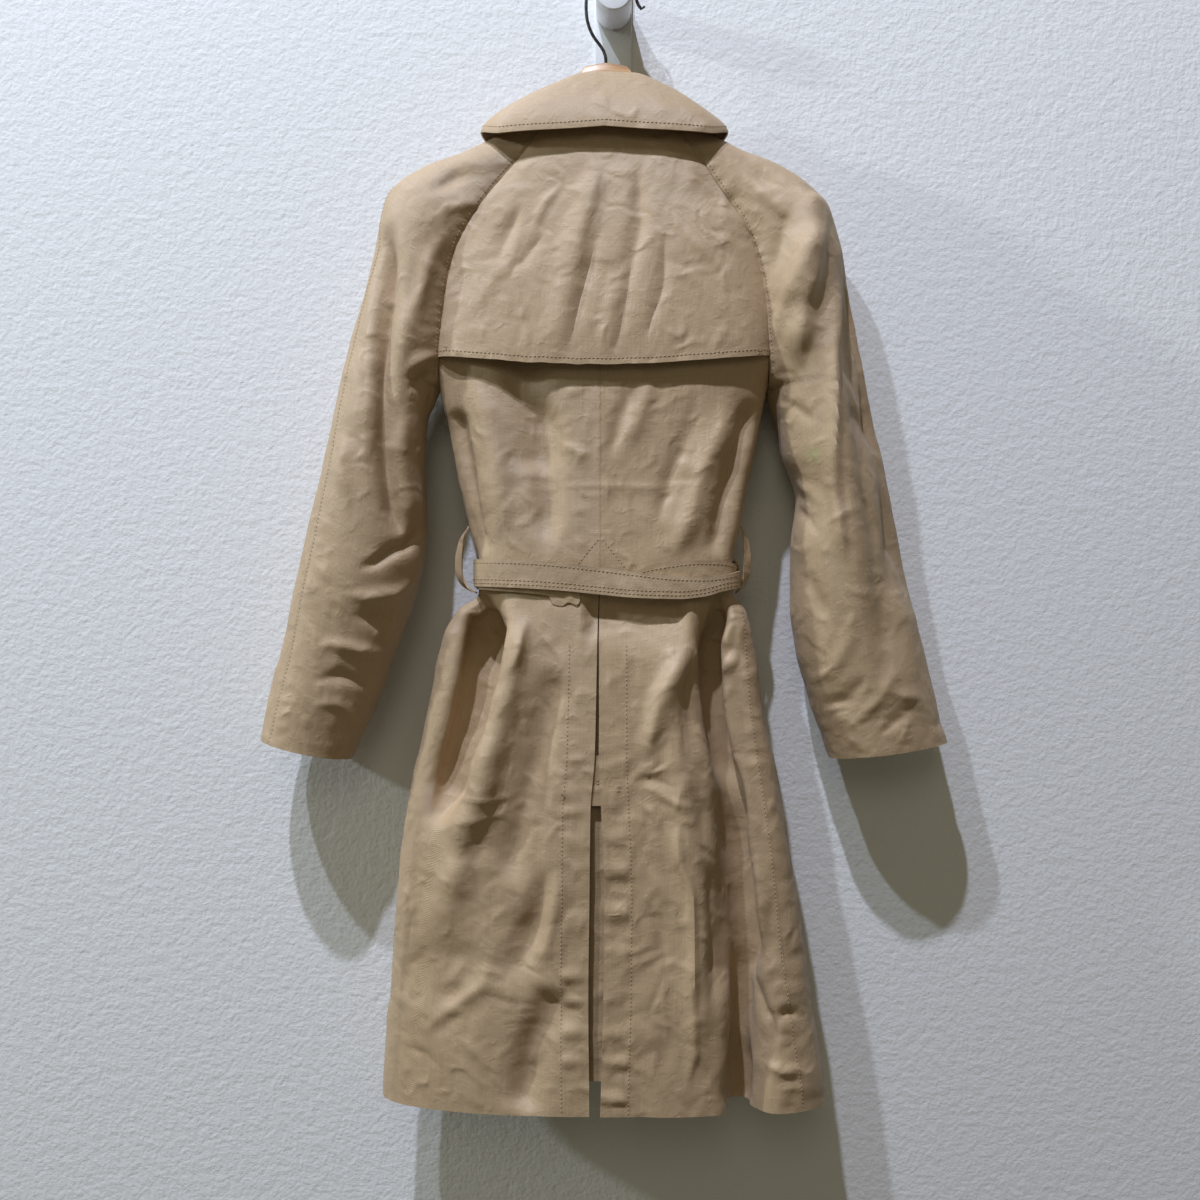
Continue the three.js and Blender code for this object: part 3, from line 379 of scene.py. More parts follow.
# %% The large folds
FOLD_COLUMNS = ("fold", "face", "wide", "deep", "end", "path")
FOLDS = [dict(zip(FOLD_COLUMNS, row)) for row in (
    ("left side", "back", 13, -25, -4,
     [(-121, -600), (-127, -640), (-137, -700), (-152, -760), (-170, -820), (-187, -858)]),
    ("left ridge", "back", 13, 7, 5,
     [(-104, -620), (-108, -668), (-114, -720), (-128, -790), (-146, -850), (-166, -930)]),
    ("left thigh upper", "back", 18, -5, -5,
     [(-58, -680), (-72, -740), (-84, -800), (-96, -870), (-101, -900)]),
    ("left thigh lower", "back", 18, -5, -5, [(-73, -905), (-82, -935), (-95, -970), (-106, -998)]),
    ("left hem", "back", 17, -8, -8, [(-50, -990), (-72, -1040), (-90, -1112)]),
    ("left hollow", "back", 24, -5, -5, [(-139, -940), (-154, -985), (-168, -1030)]),
    ("right side", "back", 17, -26, -37, [(98, -590), (98, -640), (102, -698), (114, -786), (125, -870),
                                          (130, -950), (129, -1040), (126, -1112), (124, -1205)]),
    ("right ridge", "back", 16, 6, 6, [(66, -640), (60, -720), (72, -850), (80, -950), (76, -1080)]),
    ("chest left", "back", 9, -9, -9, [(-158, -425), (-147, -480), (-137, -525), (-128, -578)]),
    ("chest right", "back", 10, -9, -9,
     [(139, -415), (129, -452), (119, -482), (104, -540), (98, -578)]),
    ("left sleeve", "back", 11, -20, -12,
     [(-230, -238), (-226, -275), (-225, -320), (-226, -400), (-222, -470), (-214, -530), (-194, -580)]),
    ("right sleeve", "back", 16, -11, -9, [(238, -285), (244, -400), (250, -500), (262, -590), (276, -700)]),
    ("right arm ridge", "back", 16, 8, 6, [(200, -205), (190, -255), (174, -330)]),
    ("chest hollow", "back", 24, -15, -6, [(-98, -345), (-90, -400), (-82, -440), (-80, -500)]),
    ("waist hollow", "back", 24, -10, -10, [(-34, -628), (20, -632), (76, -628)]),
    ("front left hang", "front", 18, -10, -10, [(-90, -640), (-104, -760), (-120, -900), (-128, -1112)]),
    ("front right hang", "front", 18, -10, -10, [(72, -640), (88, -780), (102, -920), (112, -1112)]),
    ("front chest left", "front", 14, -7, -7, [(-120, -380), (-100, -480), (-92, -575)]),
    ("front chest right", "front", 14, -7, -7, [(104, -380), (86, -480), (74, -575)]),
    ("left sleeve inside", "front", 16, -9, -9, [(-224, -330), (-238, -470), (-262, -600)]),
    ("right sleeve inside", "front", 16, -9, -9, [(204, -330), (224, -470), (240, -600)]),
)]
BELT_Z = -597.0
SHORT_FOLD = 110
SHORT_ENDS, LONG_ENDS = 0.35, 0.15
print("large folds:", len(FOLDS))


# %% Lifting the cloth along a path
def along_path(path, points):
    """How far each point lies from a path, on which side, and its share of the way along it."""
    path = np.array(path, float)
    best = np.full(points.shape[:-1], np.inf)
    side = np.zeros(points.shape[:-1])
    share = np.zeros(points.shape[:-1])
    lengths = np.linalg.norm(np.diff(path, axis=0), axis=1)
    reach = 0.0
    for a, b, length in zip(path[:-1], path[1:], lengths):
        rel = points - a
        line = (b - a) / length
        t = np.clip(rel @ line / length, 0, 1)
        off = rel - t[..., None] * (b - a)
        far = np.linalg.norm(off, axis=-1)
        nearer = far < best
        best = np.where(nearer, far, best)
        side = np.where(nearer, np.sign(line[0] * off[..., 1] - line[1] * off[..., 0]), side)
        share = np.where(nearer, (reach + t * length) / lengths.sum(), share)
        reach += length
    return best, side, share


def fold_lift(fold, points, ends, taper=False):
    """The lift of one fold, which fades in and out over a share of its length at both ends."""
    far, side, share = along_path(fold["path"], points)
    fade = smooth(share, 0, ends) * smooth(1 - share, 0, ends)
    wide = fold["wide"] * np.where(side > 0, 1, fold.get("steep", 1))
    if taper:
        wide = wide * (0.55 + 0.45 * fade)
    sharp = fold.get("sharp", 0)
    bell = (1 - sharp) * np.exp(-((far / wide) ** 2)) + sharp * np.exp(-far / (0.7 * wide))
    return (fold["deep"] + (fold["end"] - fold["deep"]) * share) * fade * bell


def folded(points, normals, left_out=()):
    """The large folds' lift at each point, less where the belt ties the cloth down."""
    facing = {"back": -normals[..., 1], "front": normals[..., 1]}
    flat = points[..., [0, 2]]
    lift = np.zeros(points.shape[:-1])
    for fold in FOLDS:
        if fold["fold"] in left_out:
            continue
        weight = smooth(facing[fold["face"]], 0.05, 0.45)
        near = weight > 0
        if near.any():
            ends = SHORT_ENDS if length_of(fold["path"]) < SHORT_FOLD else LONG_ENDS
            lift[near] += weight[near] * fold_lift(fold, flat[near], ends)
    belted = np.exp(-(((points[..., 2] - BELT_Z) / 24) ** 2))
    return np.where(lift > 0, lift * (1 - belted), lift)


# %% [markdown]
# ## The creases
# Cloth that has hung and been packed keeps soft creases. Each row below is one of them: how wide it is, how far
# it rises or sinks from its start to its end, how sharp its crest is, and how wide it is to the right of a path
# that runs down the view, as a share of its width. They could be sculpted by hand, but a table keeps them where
# the view shows them and lets one be changed at a time.

# %% The creases of the back, in the view
CREASE_DEPTH = 1.45
VALLEY, VALLEY_DEPTH = 11, 1.25
SLIT_ACROSS = 595
CREASE_COLUMNS = ("wide", "deep", "end", "sharp", "steep", "path")
CREASES = [dict(zip(CREASE_COLUMNS, row)) for row in (
    # The yoke's drape from the neck, and its side dents.
    (14, 4.5, 3.5, 0, 0.6, [(602, 160), (588, 205), (575, 250), (562, 300), (555, 355)]),
    (8, -4, -3, 0.2, 1, [(601, 225), (590, 262), (578, 300), (566, 345)]),
    (10, -4.5, -2.5, 0, 0.8, [(640, 160), (640, 215), (628, 275), (612, 350)]),
    (9, 3, 3, 0, 1, [(627, 255), (614, 305), (600, 352)]),
    (7, -3, -2, 0.2, 1, [(672, 225), (658, 290), (646, 345)]),
    (6, 2.2, 1.5, 0.4, 1, [(668, 212), (700, 248), (742, 300)]),
    (5, 1.6, 1.2, 0.5, 1, [(652, 260), (690, 282), (730, 318)]),
    (10, -4, -3, 0, 0.7, [(524, 198), (508, 235), (494, 272)]),
    (7, -3, -2, 0.2, 1, [(548, 232), (522, 262), (498, 272)]),
    (8, 3, 2, 0.2, 1, [(506, 258), (484, 292), (468, 320)]),
    (6, 2.5, 1.5, 0.3, 1, [(565, 180), (545, 205), (530, 240)]),
    (7, -2.5, -2, 0.2, 1, [(690, 165), (705, 190), (722, 215)]),
    (5, 2, 1.4, 0.5, 1, [(722, 312), (710, 348)]),
    # The chest between the yoke and the belt.
    (12, 6, 5, 0, 1, [(472, 372), (492, 420), (502, 465), (506, 545)]),
    (16, -7, -5, 0, 0.8, [(538, 385), (548, 430), (550, 490), (546, 560)]),
    (9, 3.5, 2.5, 0.1, 1, [(653, 372), (641, 410), (622, 460)]),
    (8, -3.5, -2, 0.1, 1, [(636, 374), (620, 420), (607, 470)]),
    (12, 5, 4, 0, 1, [(727, 395), (712, 450), (690, 515), (668, 560)]),
    (8, -3, -3, 0.2, 1, [(700, 385), (690, 430), (668, 480), (655, 530)]),
    (3.5, 0.9, 0.9, 0.8, 1, [(545, 486), (640, 486), (712, 483)]),
    (6, 1.6, 1.2, 0.5, 1, [(560, 440), (580, 455), (596, 452)]),
    # The left shoulder and sleeve.
    (12, -5, -3, 0, 0.7, [(420, 196), (455, 180), (492, 170), (510, 160)]),
    (8, 3, 2, 0.2, 1, [(440, 215), (470, 205), (490, 190)]),
    (9, 3.5, 2.5, 0.1, 1, [(455, 225), (430, 262), (408, 320), (398, 380)]),
    (6, 3.5, 2.5, 0.3, 1, [(400, 380), (418, 364), (438, 352)]),
    (5, -3.5, -2, 0.2, 1, [(404, 394), (420, 380), (438, 374)]),
    (9, 4, 3, 0.1, 1, [(404, 404), (400, 450), (404, 500), (398, 560)]),
    (8, -5, -3, 0.1, 0.7, [(428, 520), (404, 545), (378, 560), (350, 566)]),
    (7, 3, 2, 0.2, 1, [(424, 572), (398, 590), (365, 596), (335, 590)]),
    (8, -3, -2, 0.1, 1, [(410, 612), (380, 618), (345, 612)]),
    (7, 2.6, 2, 0.2, 1, [(400, 655), (370, 650), (330, 640), (305, 645)]),
    (7, -2.6, -2, 0.2, 1, [(372, 690), (340, 676), (306, 680)]),
    (6, 2, 1.5, 0.3, 1, [(360, 722), (335, 705), (300, 702)]),
    (7, 2.5, 2, 0.2, 1, [(352, 420), (345, 470), (352, 520)]),
    (7, -2.4, -2, 0.2, 1, [(368, 300), (362, 360), (366, 420)]),
    # The right shoulder and sleeve.
    (9, -4, -3, 0.1, 1, [(718, 150), (750, 168), (790, 190)]),
    (8, 3, 2, 0.2, 1, [(735, 178), (765, 196), (800, 225)]),
    (15, 8, 6, 0, 0.7, [(828, 205), (814, 250), (803, 305), (796, 375)]),
    (7, 3, 2, 0.3, 1, [(822, 212), (800, 262), (782, 315), (774, 360)]),
    (9, -2.5, -2, 0.1, 1, [(786, 205), (776, 245), (770, 285)]),
    (20, -6, -9, 0, 1, [(852, 240), (868, 360), (884, 450), (900, 540), (908, 620)]),
    (8, 4, 4, 0, 0.5, [(836, 270), (835, 360), (834, 440), (836, 500), (846, 570)]),
    (6, -3.5, -2, 0.2, 1, [(780, 402), (798, 412), (812, 428)]),
    (6, -4.5, -2.5, 0.2, 0.8, [(792, 506), (806, 518), (820, 540)]),
    (7, 3, 2, 0.3, 1, [(795, 478), (812, 492), (826, 516)]),
    (9, -4, -3, 0.1, 1, [(800, 550), (812, 600), (826, 640)]),
    (8, 3.5, 3, 0.2, 1, [(812, 690), (834, 672), (850, 640), (852, 600)]),
    (8, -3.5, -2, 0.2, 1, [(818, 714), (846, 700), (872, 668)]),
    (7, 3, 2, 0.3, 1, [(840, 735), (878, 700), (905, 660)]),
    (6, -3, -2, 0.3, 1, [(870, 745), (900, 716), (926, 690)]),
    (6, 2.4, 2, 0.4, 1, [(880, 692), (905, 698), (932, 704)]),
    (7, 2.5, 2, 0.2, 1, [(852, 320), (866, 380), (868, 440)]),
    (6, 2.5, 2, 0.3, 1, [(848, 365), (858, 400), (872, 420)]),
    (6, -2.5, -2, 0.3, 1, [(856, 470), (870, 520), (880, 560)]),
    # The left skirt.
    (18, -28, -16, 0, 1, [(488, 584), (482, 640), (473, 690), (462, 735), (446, 785), (428, 830)]),
    (15, 7.5, 6, 0, 1, [(520, 604), (517, 645), (511, 690), (496, 742), (474, 800), (458, 860)]),
    (6, 3, 2, 0.3, 1, [(528, 610), (520, 650), (498, 690)]),
    (13, -4.5, -4, 0, 0.6, [(558, 662), (549, 715), (536, 770), (520, 830), (511, 884)]),
    (13, -4, -3, 0, 0.7, [(547, 856), (533, 918), (514, 978)]),
    (9, 2, 1.5, 0.2, 1, [(562, 858), (552, 915), (536, 975)]),
    (12, -3, -3, 0, 0.7, [(558, 985), (535, 1045), (514, 1108)]),
    (19, 7, 5, 0, 1, [(470, 850), (452, 900), (434, 950)]),
    (10, -3, -2.5, 0.1, 1, [(432, 930), (422, 960), (425, 1004)]),
    (8, 4.5, 3, 0.3, 1, [(502, 942), (480, 984), (450, 1012), (426, 1028)]),
    (9, -2, -1.5, 0.1, 1, [(462, 1014), (440, 1030), (424, 1036)]),
    (7, 2.5, 2, 0.3, 1, [(470, 955), (455, 975), (440, 990)]),
    (4, 1.5, 1.2, 0.7, 1, [(442, 806), (482, 797), (524, 789)]),
    (4, 1.5, 1.2, 0.7, 1, [(436, 832), (480, 816), (522, 802)]),
    (4, 1.4, 1, 0.7, 1, [(444, 1052), (470, 1072), (502, 1088)]),
    (4, 1.4, 1, 0.7, 1, [(452, 1038), (482, 1058), (508, 1074)]),
    (4, -1.4, -1, 0.7, 1, [(400, 1040), (425, 1052), (442, 1078)]),
    (8, 2.5, 2, 0.2, 1, [(410, 870), (404, 930), (398, 1000)]),
    # The slit's strips and the bartack's rays.
    (4, 1.8, 1, 0.4, 1, [(633, 776), (652, 772), (676, 766)]),
    (5, 2.4, 1.4, 0.3, 1, [(634, 791), (660, 796), (702, 808)]),
    (4, 1.8, 1, 0.4, 1, [(632, 801), (650, 816), (670, 840)]),
    (4, -2, -1, 0.3, 1, [(629, 784), (652, 783), (684, 786)]),
    (4, 1.2, 1.2, 0.8, 1, [(560, 761), (592, 758)]),
    # The right skirt.
    (12, 4.5, 4, 0, 1, [(640, 765), (656, 722), (674, 682), (690, 640)]),
    (14, -6, -4, 0, 0.8, [(692, 645), (695, 720), (701, 800), (707, 845)]),
    (7, 3.5, 3, 0.1, 0.45, [(680, 815), (689, 890), (692, 980), (692, 1095)]),
    (8, -3, -3, 0, 1, [(712, 850), (716, 940), (712, 1040)]),
    (2.6, 0.8, 0.8, 0.6, 1, [(662, 962), (662, 1066)]),
    (7, 2.8, 2, 0.2, 1, [(640, 860), (668, 905), (676, 950)]),
    (6, -2.4, -2, 0.2, 1, [(640, 900), (656, 930), (664, 975)]),
    (6, 2.4, 2, 0.3, 1, [(636, 1010), (652, 1050), (650, 1090)]),
    (10, -14, -12, 0, 0.75, [(714, 585), (714, 640), (718, 680), (722, 722), (730, 770), (738, 820), (745, 872),
                            (748, 920), (748, 972), (746, 1012), (742, 1070), (738, 1135)]),
    (7, 5, 4, 0.1, 1, [(724, 600), (726, 650), (733, 720), (746, 800), (757, 880), (760, 960)]),
    (16, -6, -5, 0, 0.5, [(716, 780), (726, 850), (730, 930), (722, 1010)]),
    (4.5, -3.5, -2.5, 0.3, 1, [(749, 962), (762, 988), (773, 1020), (774, 1058)]),
    (5, -3, -2, 0.3, 1, [(774, 1022), (790, 1013), (806, 1018)]),
    (5, 2.8, 2, 0.3, 1, [(762, 1060), (784, 1068), (806, 1064)]),
    (8, 3.5, 3, 0.1, 1, [(727, 664), (741, 668)]),
    (6, 2.5, 2, 0.3, 1, [(724, 612), (736, 632), (742, 655)]),
)]


def creased(points, normals):
    """The creases' lift at each point. The back alone has them, and shallow ones are uneven along their length."""
    weight = smooth(-normals[..., 1], 0.0, 0.35)
    near = weight > 0
    view = seen(points[near])
    bend = np.stack([noise(points[near], 46, seed) for seed in (51, 52)], axis=-1)
    view = view + 5.5 * bend * smooth(np.abs(view[:, :1] - SLIT_ACROSS), 20, 60)
    across, down = view[:, 0], view[:, 1]
    uneven = np.clip(0.9 + 0.5 * noise(points[near], 60, 53), 0.4, 1.4)
    on_yoke = smooth(across, 440, 470) * smooth(-across, -765, -735) * smooth(-down, -372, -360)
    lift = np.zeros(len(view))
    for crease in CREASES:
        ends = min(0.42, 45 / length_of(crease["path"]))
        depth = VALLEY_DEPTH if abs(crease["deep"]) > VALLEY else CREASE_DEPTH * uneven
        lift += fold_lift(crease, view, ends, taper=True) * depth
    out = np.zeros(points.shape[:-1])
    out[near] = lift * (1 - 0.3 * on_yoke) * weight[near]
    return out


print("creases:", len(CREASES))

# %% [markdown]
# ## Crumple
# Worn gabardine is covered with slight dents and crease lines that nobody would place by hand. They come from
# smooth noise, whose folded value makes lines where it crosses zero.


# %% Noise on the cloth
def noise(points, size, seed):
    """Smooth noise from -1 to 1, with dents about the given size in millimetres."""
    p = points / size + 37.7 * seed
    cell = np.floor(p).astype(np.int64)
    t = p - cell
    t = t * t * t * (t * (t * 6 - 15) + 10)
    total = np.zeros(p.shape[:-1])
    for corner in range(8):
        step = np.array([corner & 1, corner >> 1 & 1, corner >> 2 & 1])
        c = cell + step
        mixed = (c[..., 0] * 73856093) ^ (c[..., 1] * 19349663) ^ (c[..., 2] * 83492791)
        mixed = mixed ^ (seed * 2654435761)
        mixed = (mixed ^ (mixed >> 13)) * 1274126177 & 0x7FFFFFFF
        value = (mixed ^ (mixed >> 16)) % 65536 / 32767.5 - 1
        total += value * np.prod(np.where(step, t, 1 - t), axis=-1)
    return total


def crumpled(points):
    """Soft dents, and facets that meet in creases: where the noise crosses zero, its size has a crease."""
    warp = np.stack([noise(points, 70, s) for s in (11, 12, 13)], axis=-1)
    bent = points * (1, 1, 0.75) + 24 * warp
    soft = 1.5 * noise(bent, 62, 1) + 0.5 * noise(bent, 24, 2)
    round_off = 0.03 + 0.16 * np.clip(noise(points, 110, 5), 0, 1)
    facets = 2.4 * np.sqrt(noise(bent, 58, 3) ** 2 + round_off**2)
    small = 1.35 * np.sqrt(noise(bent, 27, 6) ** 2 + 0.003)
    fine = 0.8 * np.sqrt(noise(bent, 13, 7) ** 2 + 0.004)
    worn = 0.55 + 0.45 * smooth(-points[..., 2], 560, 760)
    patchy = 0.8 + 0.4 * noise(points, 150, 8)
    belted = np.exp(-(((points[..., 2] - BELT_Z) / 22) ** 2))
    return (soft * 0.7 + (facets + small + fine - 1.6) * worn * patchy) * (1 - 0.85 * belted)


# %% [markdown]
# ## Puckers
# A stitched line draws the cloth together, so short dents stand across it all along. They are a row of bells
# along the line, as deep as the table says, on one side of it (left is -1, right is 1) or on both (0).

# %% Puckers along the stitched lines
PUCKER_COLUMNS = ("pitch", "deep", "wide", "hand", "path")
RAGLAN_LEFT = [(530, 145), (515, 160), (500, 180), (480, 203), (468, 225), (458, 245), (450, 265), (446, 290),
               (443, 310), (441, 330), (440, 350), (437, 385)]
RAGLAN_RIGHT = [(690, 143), (700, 158), (715, 180), (732, 205), (745, 228), (755, 250), (759, 265), (762, 290),
                (766, 310), (768, 330), (764, 355), (770, 378)]
SLIT_STITCH_LEFT = [(572, 640), (570, 660), (571, 760), (563, 800), (562, 860), (562, 920), (560, 1000),
                    (560, 1110)]
SLIT_STITCH_RIGHT = [(624, 645), (625, 660), (624, 740), (625, 800), (630, 860), (630, 980), (629, 1060),
                     (628, 1112)]
SIDE_RIGHT = [(741, 625), (742, 640), (748, 700), (755, 760), (762, 820), (770, 880), (776, 930), (782, 980),
              (790, 1040), (795, 1108)]
OVERARM_LEFT = [(343, 420), (331, 470), (325, 500), (318, 540), (310, 580), (302, 620), (295, 660), (287, 700),
                (281, 735)]
PUCKERS = [dict(zip(PUCKER_COLUMNS, row)) for row in (
    (11.5, 0.8, 5.5, -1, RAGLAN_LEFT),
    (12.5, 1.1, 6, 1, RAGLAN_RIGHT),
    (37, 2.0, 14, 1, SLIT_STITCH_LEFT[3:]),
    (43, 3.0, 16, -1, SLIT_STITCH_RIGHT[3:]),
    (19, 0.6, 6, 0, SLIT_STITCH_RIGHT[3:]),
    (19, 0.5, 6, 0, SLIT_STITCH_LEFT),
    (31, 0.8, 10, 0, SIDE_RIGHT),
    (21, 0.6, 7, 0, OVERARM_LEFT),
)]


def puckered(points, normals):
    weight = smooth(-normals[..., 1], 0.0, 0.35)
    near = weight > 0
    view = seen(points[near])
    lift = np.zeros(len(view))
    for number, row in enumerate(PUCKERS):
        far, side, share = along_path(row["path"], view)
        at = share * length_of(row["path"]) / row["pitch"]
        flat = np.stack([at * 0.8, 0 * at, 0 * at], axis=-1)
        at = at + 0.9 * noise(flat * 0.8, 1.0, 21 + number)
        strength = np.clip(0.8 + 1.1 * noise(flat * 0.6, 1.0, 41 + number), 0.1, 1.8)
        bell = (0.5 + 0.5 * np.cos(2 * math.pi * at)) ** 2 - 0.375
        off = far - (0.6 * row["wide"] if row["hand"] else 0)
        reach = np.exp(-((off / row["wide"]) ** 2))
        if row["hand"]:
            reach = reach * (side == -row["hand"]) * smooth(far, 0, 3)
        fade = smooth(share, 0, 0.03) * smooth(1 - share, 0, 0.03)
        lift += row["deep"] * strength * bell * reach * fade
    out = np.zeros(points.shape[:-1])
    out[near] = lift * weight[near]
    return out


# %% [markdown]
# ## From a grid to cloth
# Panels that share a seam have to share its normals too, or the seam would step. Points that lie at the same
# place are found by rounding, and their normals are added.


# %% Normals and walls
SHARP_FROM = 52


def normals_of(grid, sign):
    across = grid[:-1, 1:] - grid[:-1, :-1] + grid[1:, 1:] - grid[1:, :-1]
    down = grid[1:, :-1] - grid[:-1, :-1] + grid[1:, 1:] - grid[:-1, 1:]
    faces = np.cross(across, down) * sign
    normals = np.zeros_like(grid)
    for rows in (slice(0, -1), slice(1, None)):
        for columns in (slice(0, -1), slice(1, None)):
            normals[rows, columns] += faces
    return normals / np.maximum(np.linalg.norm(normals, axis=-1, keepdims=True), 1e-9)


def weld_normals(panels):
    """Gives each panel its normals, shared where panels meet at a seam."""
    for panel in panels.values():
        panel["normals"] = normals_of(panel["grid"], panel["sign"])
    rim = {}
    for panel in panels.values():
        shape = panel["grid"].shape[:2]
        edge = np.zeros(shape, bool)
        edge[[0, -1]] = edge[:, [0, -1]] = True
        panel["rim"] = np.argwhere(edge)
        for r, c in panel["rim"]:
            key = tuple(np.round(panel["grid"][r, c] * 50).astype(int))
            rim[key] = rim.get(key, 0) + panel["normals"][r, c]
    for panel in panels.values():
        for r, c in panel["rim"]:
            total = rim[tuple(np.round(panel["grid"][r, c] * 50).astype(int))]
            panel["normals"][r, c] = total / np.linalg.norm(total)


def drawn_back(grid, gap):
    """The grid with each edge drawn back by half a gap, and more of it at the underarm."""
    out = grid.copy()

    def towards(at, other, far):
        step = grid[other] - grid[at]
        out[at] += step / np.linalg.norm(step, axis=-1, keepdims=True) * np.reshape(far, (-1, 1)) / 2

    if gap > 0:
        arm = UNDERARM_GAP * np.exp(-(((grid[:, -1, 2] - UNDERARM_Z) / 14) ** 2))
        full = np.full(len(grid), gap)
        towards((slice(None), 0), (slice(None), 1), full)
        towards((slice(None), -1), (slice(None), -2), full + arm)
        wide = np.full(grid.shape[1], gap)
        towards(0, 1, wide)
        towards(-1, -2, wide)
    return out


def cloth_mesh(name, grid, normals, cloth=CLOTH, gap=SEAM_GAP):
    """A closed wall of cloth round a grid, with a map in millimetres across and down it."""
    rows, columns = grid.shape[:2]
    middle = drawn_back(grid, gap)
    points = np.concatenate([middle + normals * cloth / 2, middle - normals * cloth / 2]).reshape(-1, 3)
    index = np.arange(2 * rows * columns).reshape(2, rows, columns)
    a, b = index[0], index[1]
    quads = [
        np.stack([a[:-1, :-1], a[1:, :-1], a[1:, 1:], a[:-1, 1:]], axis=-1).reshape(-1, 4),
        np.stack([b[:-1, :-1], b[:-1, 1:], b[1:, 1:], b[1:, :-1]], axis=-1).reshape(-1, 4),
        np.stack([a[:-1, 0], b[:-1, 0], b[1:, 0], a[1:, 0]], axis=-1),
        np.stack([a[:-1, -1], a[1:, -1], b[1:, -1], b[:-1, -1]], axis=-1),
        np.stack([a[0, :-1], a[0, 1:], b[0, 1:], b[0, :-1]], axis=-1),
        np.stack([a[-1, :-1], b[-1, :-1], b[-1, 1:], a[-1, 1:]], axis=-1),
    ]
    faces = np.concatenate(quads)
    p = points[faces]
    volume = sum(np.einsum("ij,ij->", p[:, 0], np.cross(p[:, k], p[:, k + 1])) for k in (1, 2))
    if volume < 0:
        faces = faces[:, ::-1]
    across = np.array([reach_of(row) for row in grid])
    down = np.array([reach_of(column) for column in grid.transpose(1, 0, 2)]).T
    flat = np.stack([across, down], axis=-1).reshape(-1, 2)
    return mesh_object(name, points, faces, np.concatenate([flat, flat]))


def linked(name, data):
    """A new object of the scene."""
    thing = bpy.data.objects.new(name, data)
    bpy.context.scene.collection.objects.link(thing)
    return thing


def mesh_object(name, points, faces, flat):
    mesh = bpy.data.meshes.new(name)
    mesh.from_pydata((points * MM).tolist(), [], faces.tolist())
    layer = mesh.uv_layers.new(name="cloth")
    loops = np.zeros(len(mesh.loops), np.int32)
    mesh.loops.foreach_get("vertex_index", loops)
    layer.data.foreach_set("uv", (flat[loops] * MM).ravel())
    mesh.validate()
    mesh.shade_smooth()
    mesh.set_sharp_from_angle(angle=math.radians(SHARP_FROM))
    return linked(name, mesh)


def picked(piece):
    """Makes a piece the only one selected."""
    bpy.ops.object.select_all(action="DESELECT")
    piece.hide_set(False)
    piece.select_set(True)
    bpy.context.view_layer.objects.active = piece


def cut_of(grid):
    """The width, length and area that a panel was cut to, in metres."""
    wide = np.linalg.norm(np.diff(grid, axis=1), axis=2)
    long = np.linalg.norm(np.diff(grid, axis=0), axis=2)
    across = grid[:-1, 1:] - grid[:-1, :-1]
    down = grid[1:, :-1] - grid[:-1, :-1]
    area = np.linalg.norm(np.cross(across, down), axis=-1).sum()
    width, length = wide.sum(axis=1).max(), long.sum(axis=0).max()
    return (width * MM, length * MM), min(area, width * length) * MM * MM


# %% [markdown]
# ## The eight panels
# Two backs, two fronts and two halves for each sleeve make the shell. Each is a grid with a point about every
# 2.5 mm, fine enough for a crease. The folds move it first, and the creases, puckers and crumples then move the
# folded cloth along its new normals. A cloth simulation would drape it anew each time, away from these folds.

# %% The eight panels of the shell
STEP = 2.5
raglan = np.linspace(NECK_Z, UNDERARM_Z, int((NECK_Z - UNDERARM_Z) / STEP) + 1)
side_rows = np.linspace(UNDERARM_Z, HEM_Z, int((UNDERARM_Z - HEM_Z) / STEP) + 1)[1:]
arm_rows = np.linspace(UNDERARM_Z, CUFF_Z, int((UNDERARM_Z - CUFF_Z) / STEP) + 1)[1:]
body_rows = np.concatenate([raglan, side_rows])
sleeve_rows = np.concatenate([raglan, arm_rows])
INNER, OUTER = int(150 / STEP), int(85 / STEP)
FRONT = int(260 / STEP / 1.6)
ARM_BACK, ARM_FRONT = int(150 / STEP), int(130 / STEP / 1.6)

unfolded = {}
for hand, side in (("left", LEFT), ("right", RIGHT)):
    arm_back = sleeve_panel(side, "back", sleeve_rows, ARM_BACK)
    arm_front = sleeve_panel(side, "front", sleeve_rows, ARM_FRONT)
    unfolded["back_" + hand] = {"grid": back_panel(side, body_rows, INNER, OUTER), "sign": -side}
    unfolded["front_" + hand] = {"grid": front_panel(side, body_rows, FRONT), "sign": -side}
    unfolded[f"sleeve_{hand}_back"] = {"grid": arm_back, "sign": side}
    unfolded[f"sleeve_{hand}_front"] = {"grid": arm_front, "sign": -side}


def shaped(panels, left_out=()):
    """The panels with their folds, and then their creases, puckers and crumple."""
    out = {name: dict(panel) for name, panel in panels.items()}
    weld_normals(out)
    for panel in out.values():
        grid, normals = panel["grid"], panel["normals"]
        fold = folded(grid, normals, left_out)
        panel["open"] = 0.1 + 0.9 * smooth(fold, -22, -5)
        panel["grid"] = grid + normals * fold[..., None]
    weld_normals(out)
    for panel in out.values():
        grid, normals = panel["grid"], panel["normals"]
        lift = creased(grid, normals) + (puckered(grid, normals) + crumpled(grid)) * panel["open"]
        panel["grid"] = grid + normals * lift[..., None]
    weld_normals(out)
    return out


# The yoke hangs across the hollow of the chest, so the backs under it are also shaped without that hollow.
shell = shaped(unfolded)
above = shaped({name: unfolded[name] for name in ("back_left", "back_right")}, ("chest hollow",))
pieces = {}
cuts = {}
for name, panel in shell.items():
    pieces[name] = cloth_mesh(name + "_cloth", panel["grid"], panel["normals"], gap=SEAM_SHOWN)
    cuts[name] = cut_of(panel["grid"])
    print(name, "triangles", 2 * len(pieces[name].data.polygons))

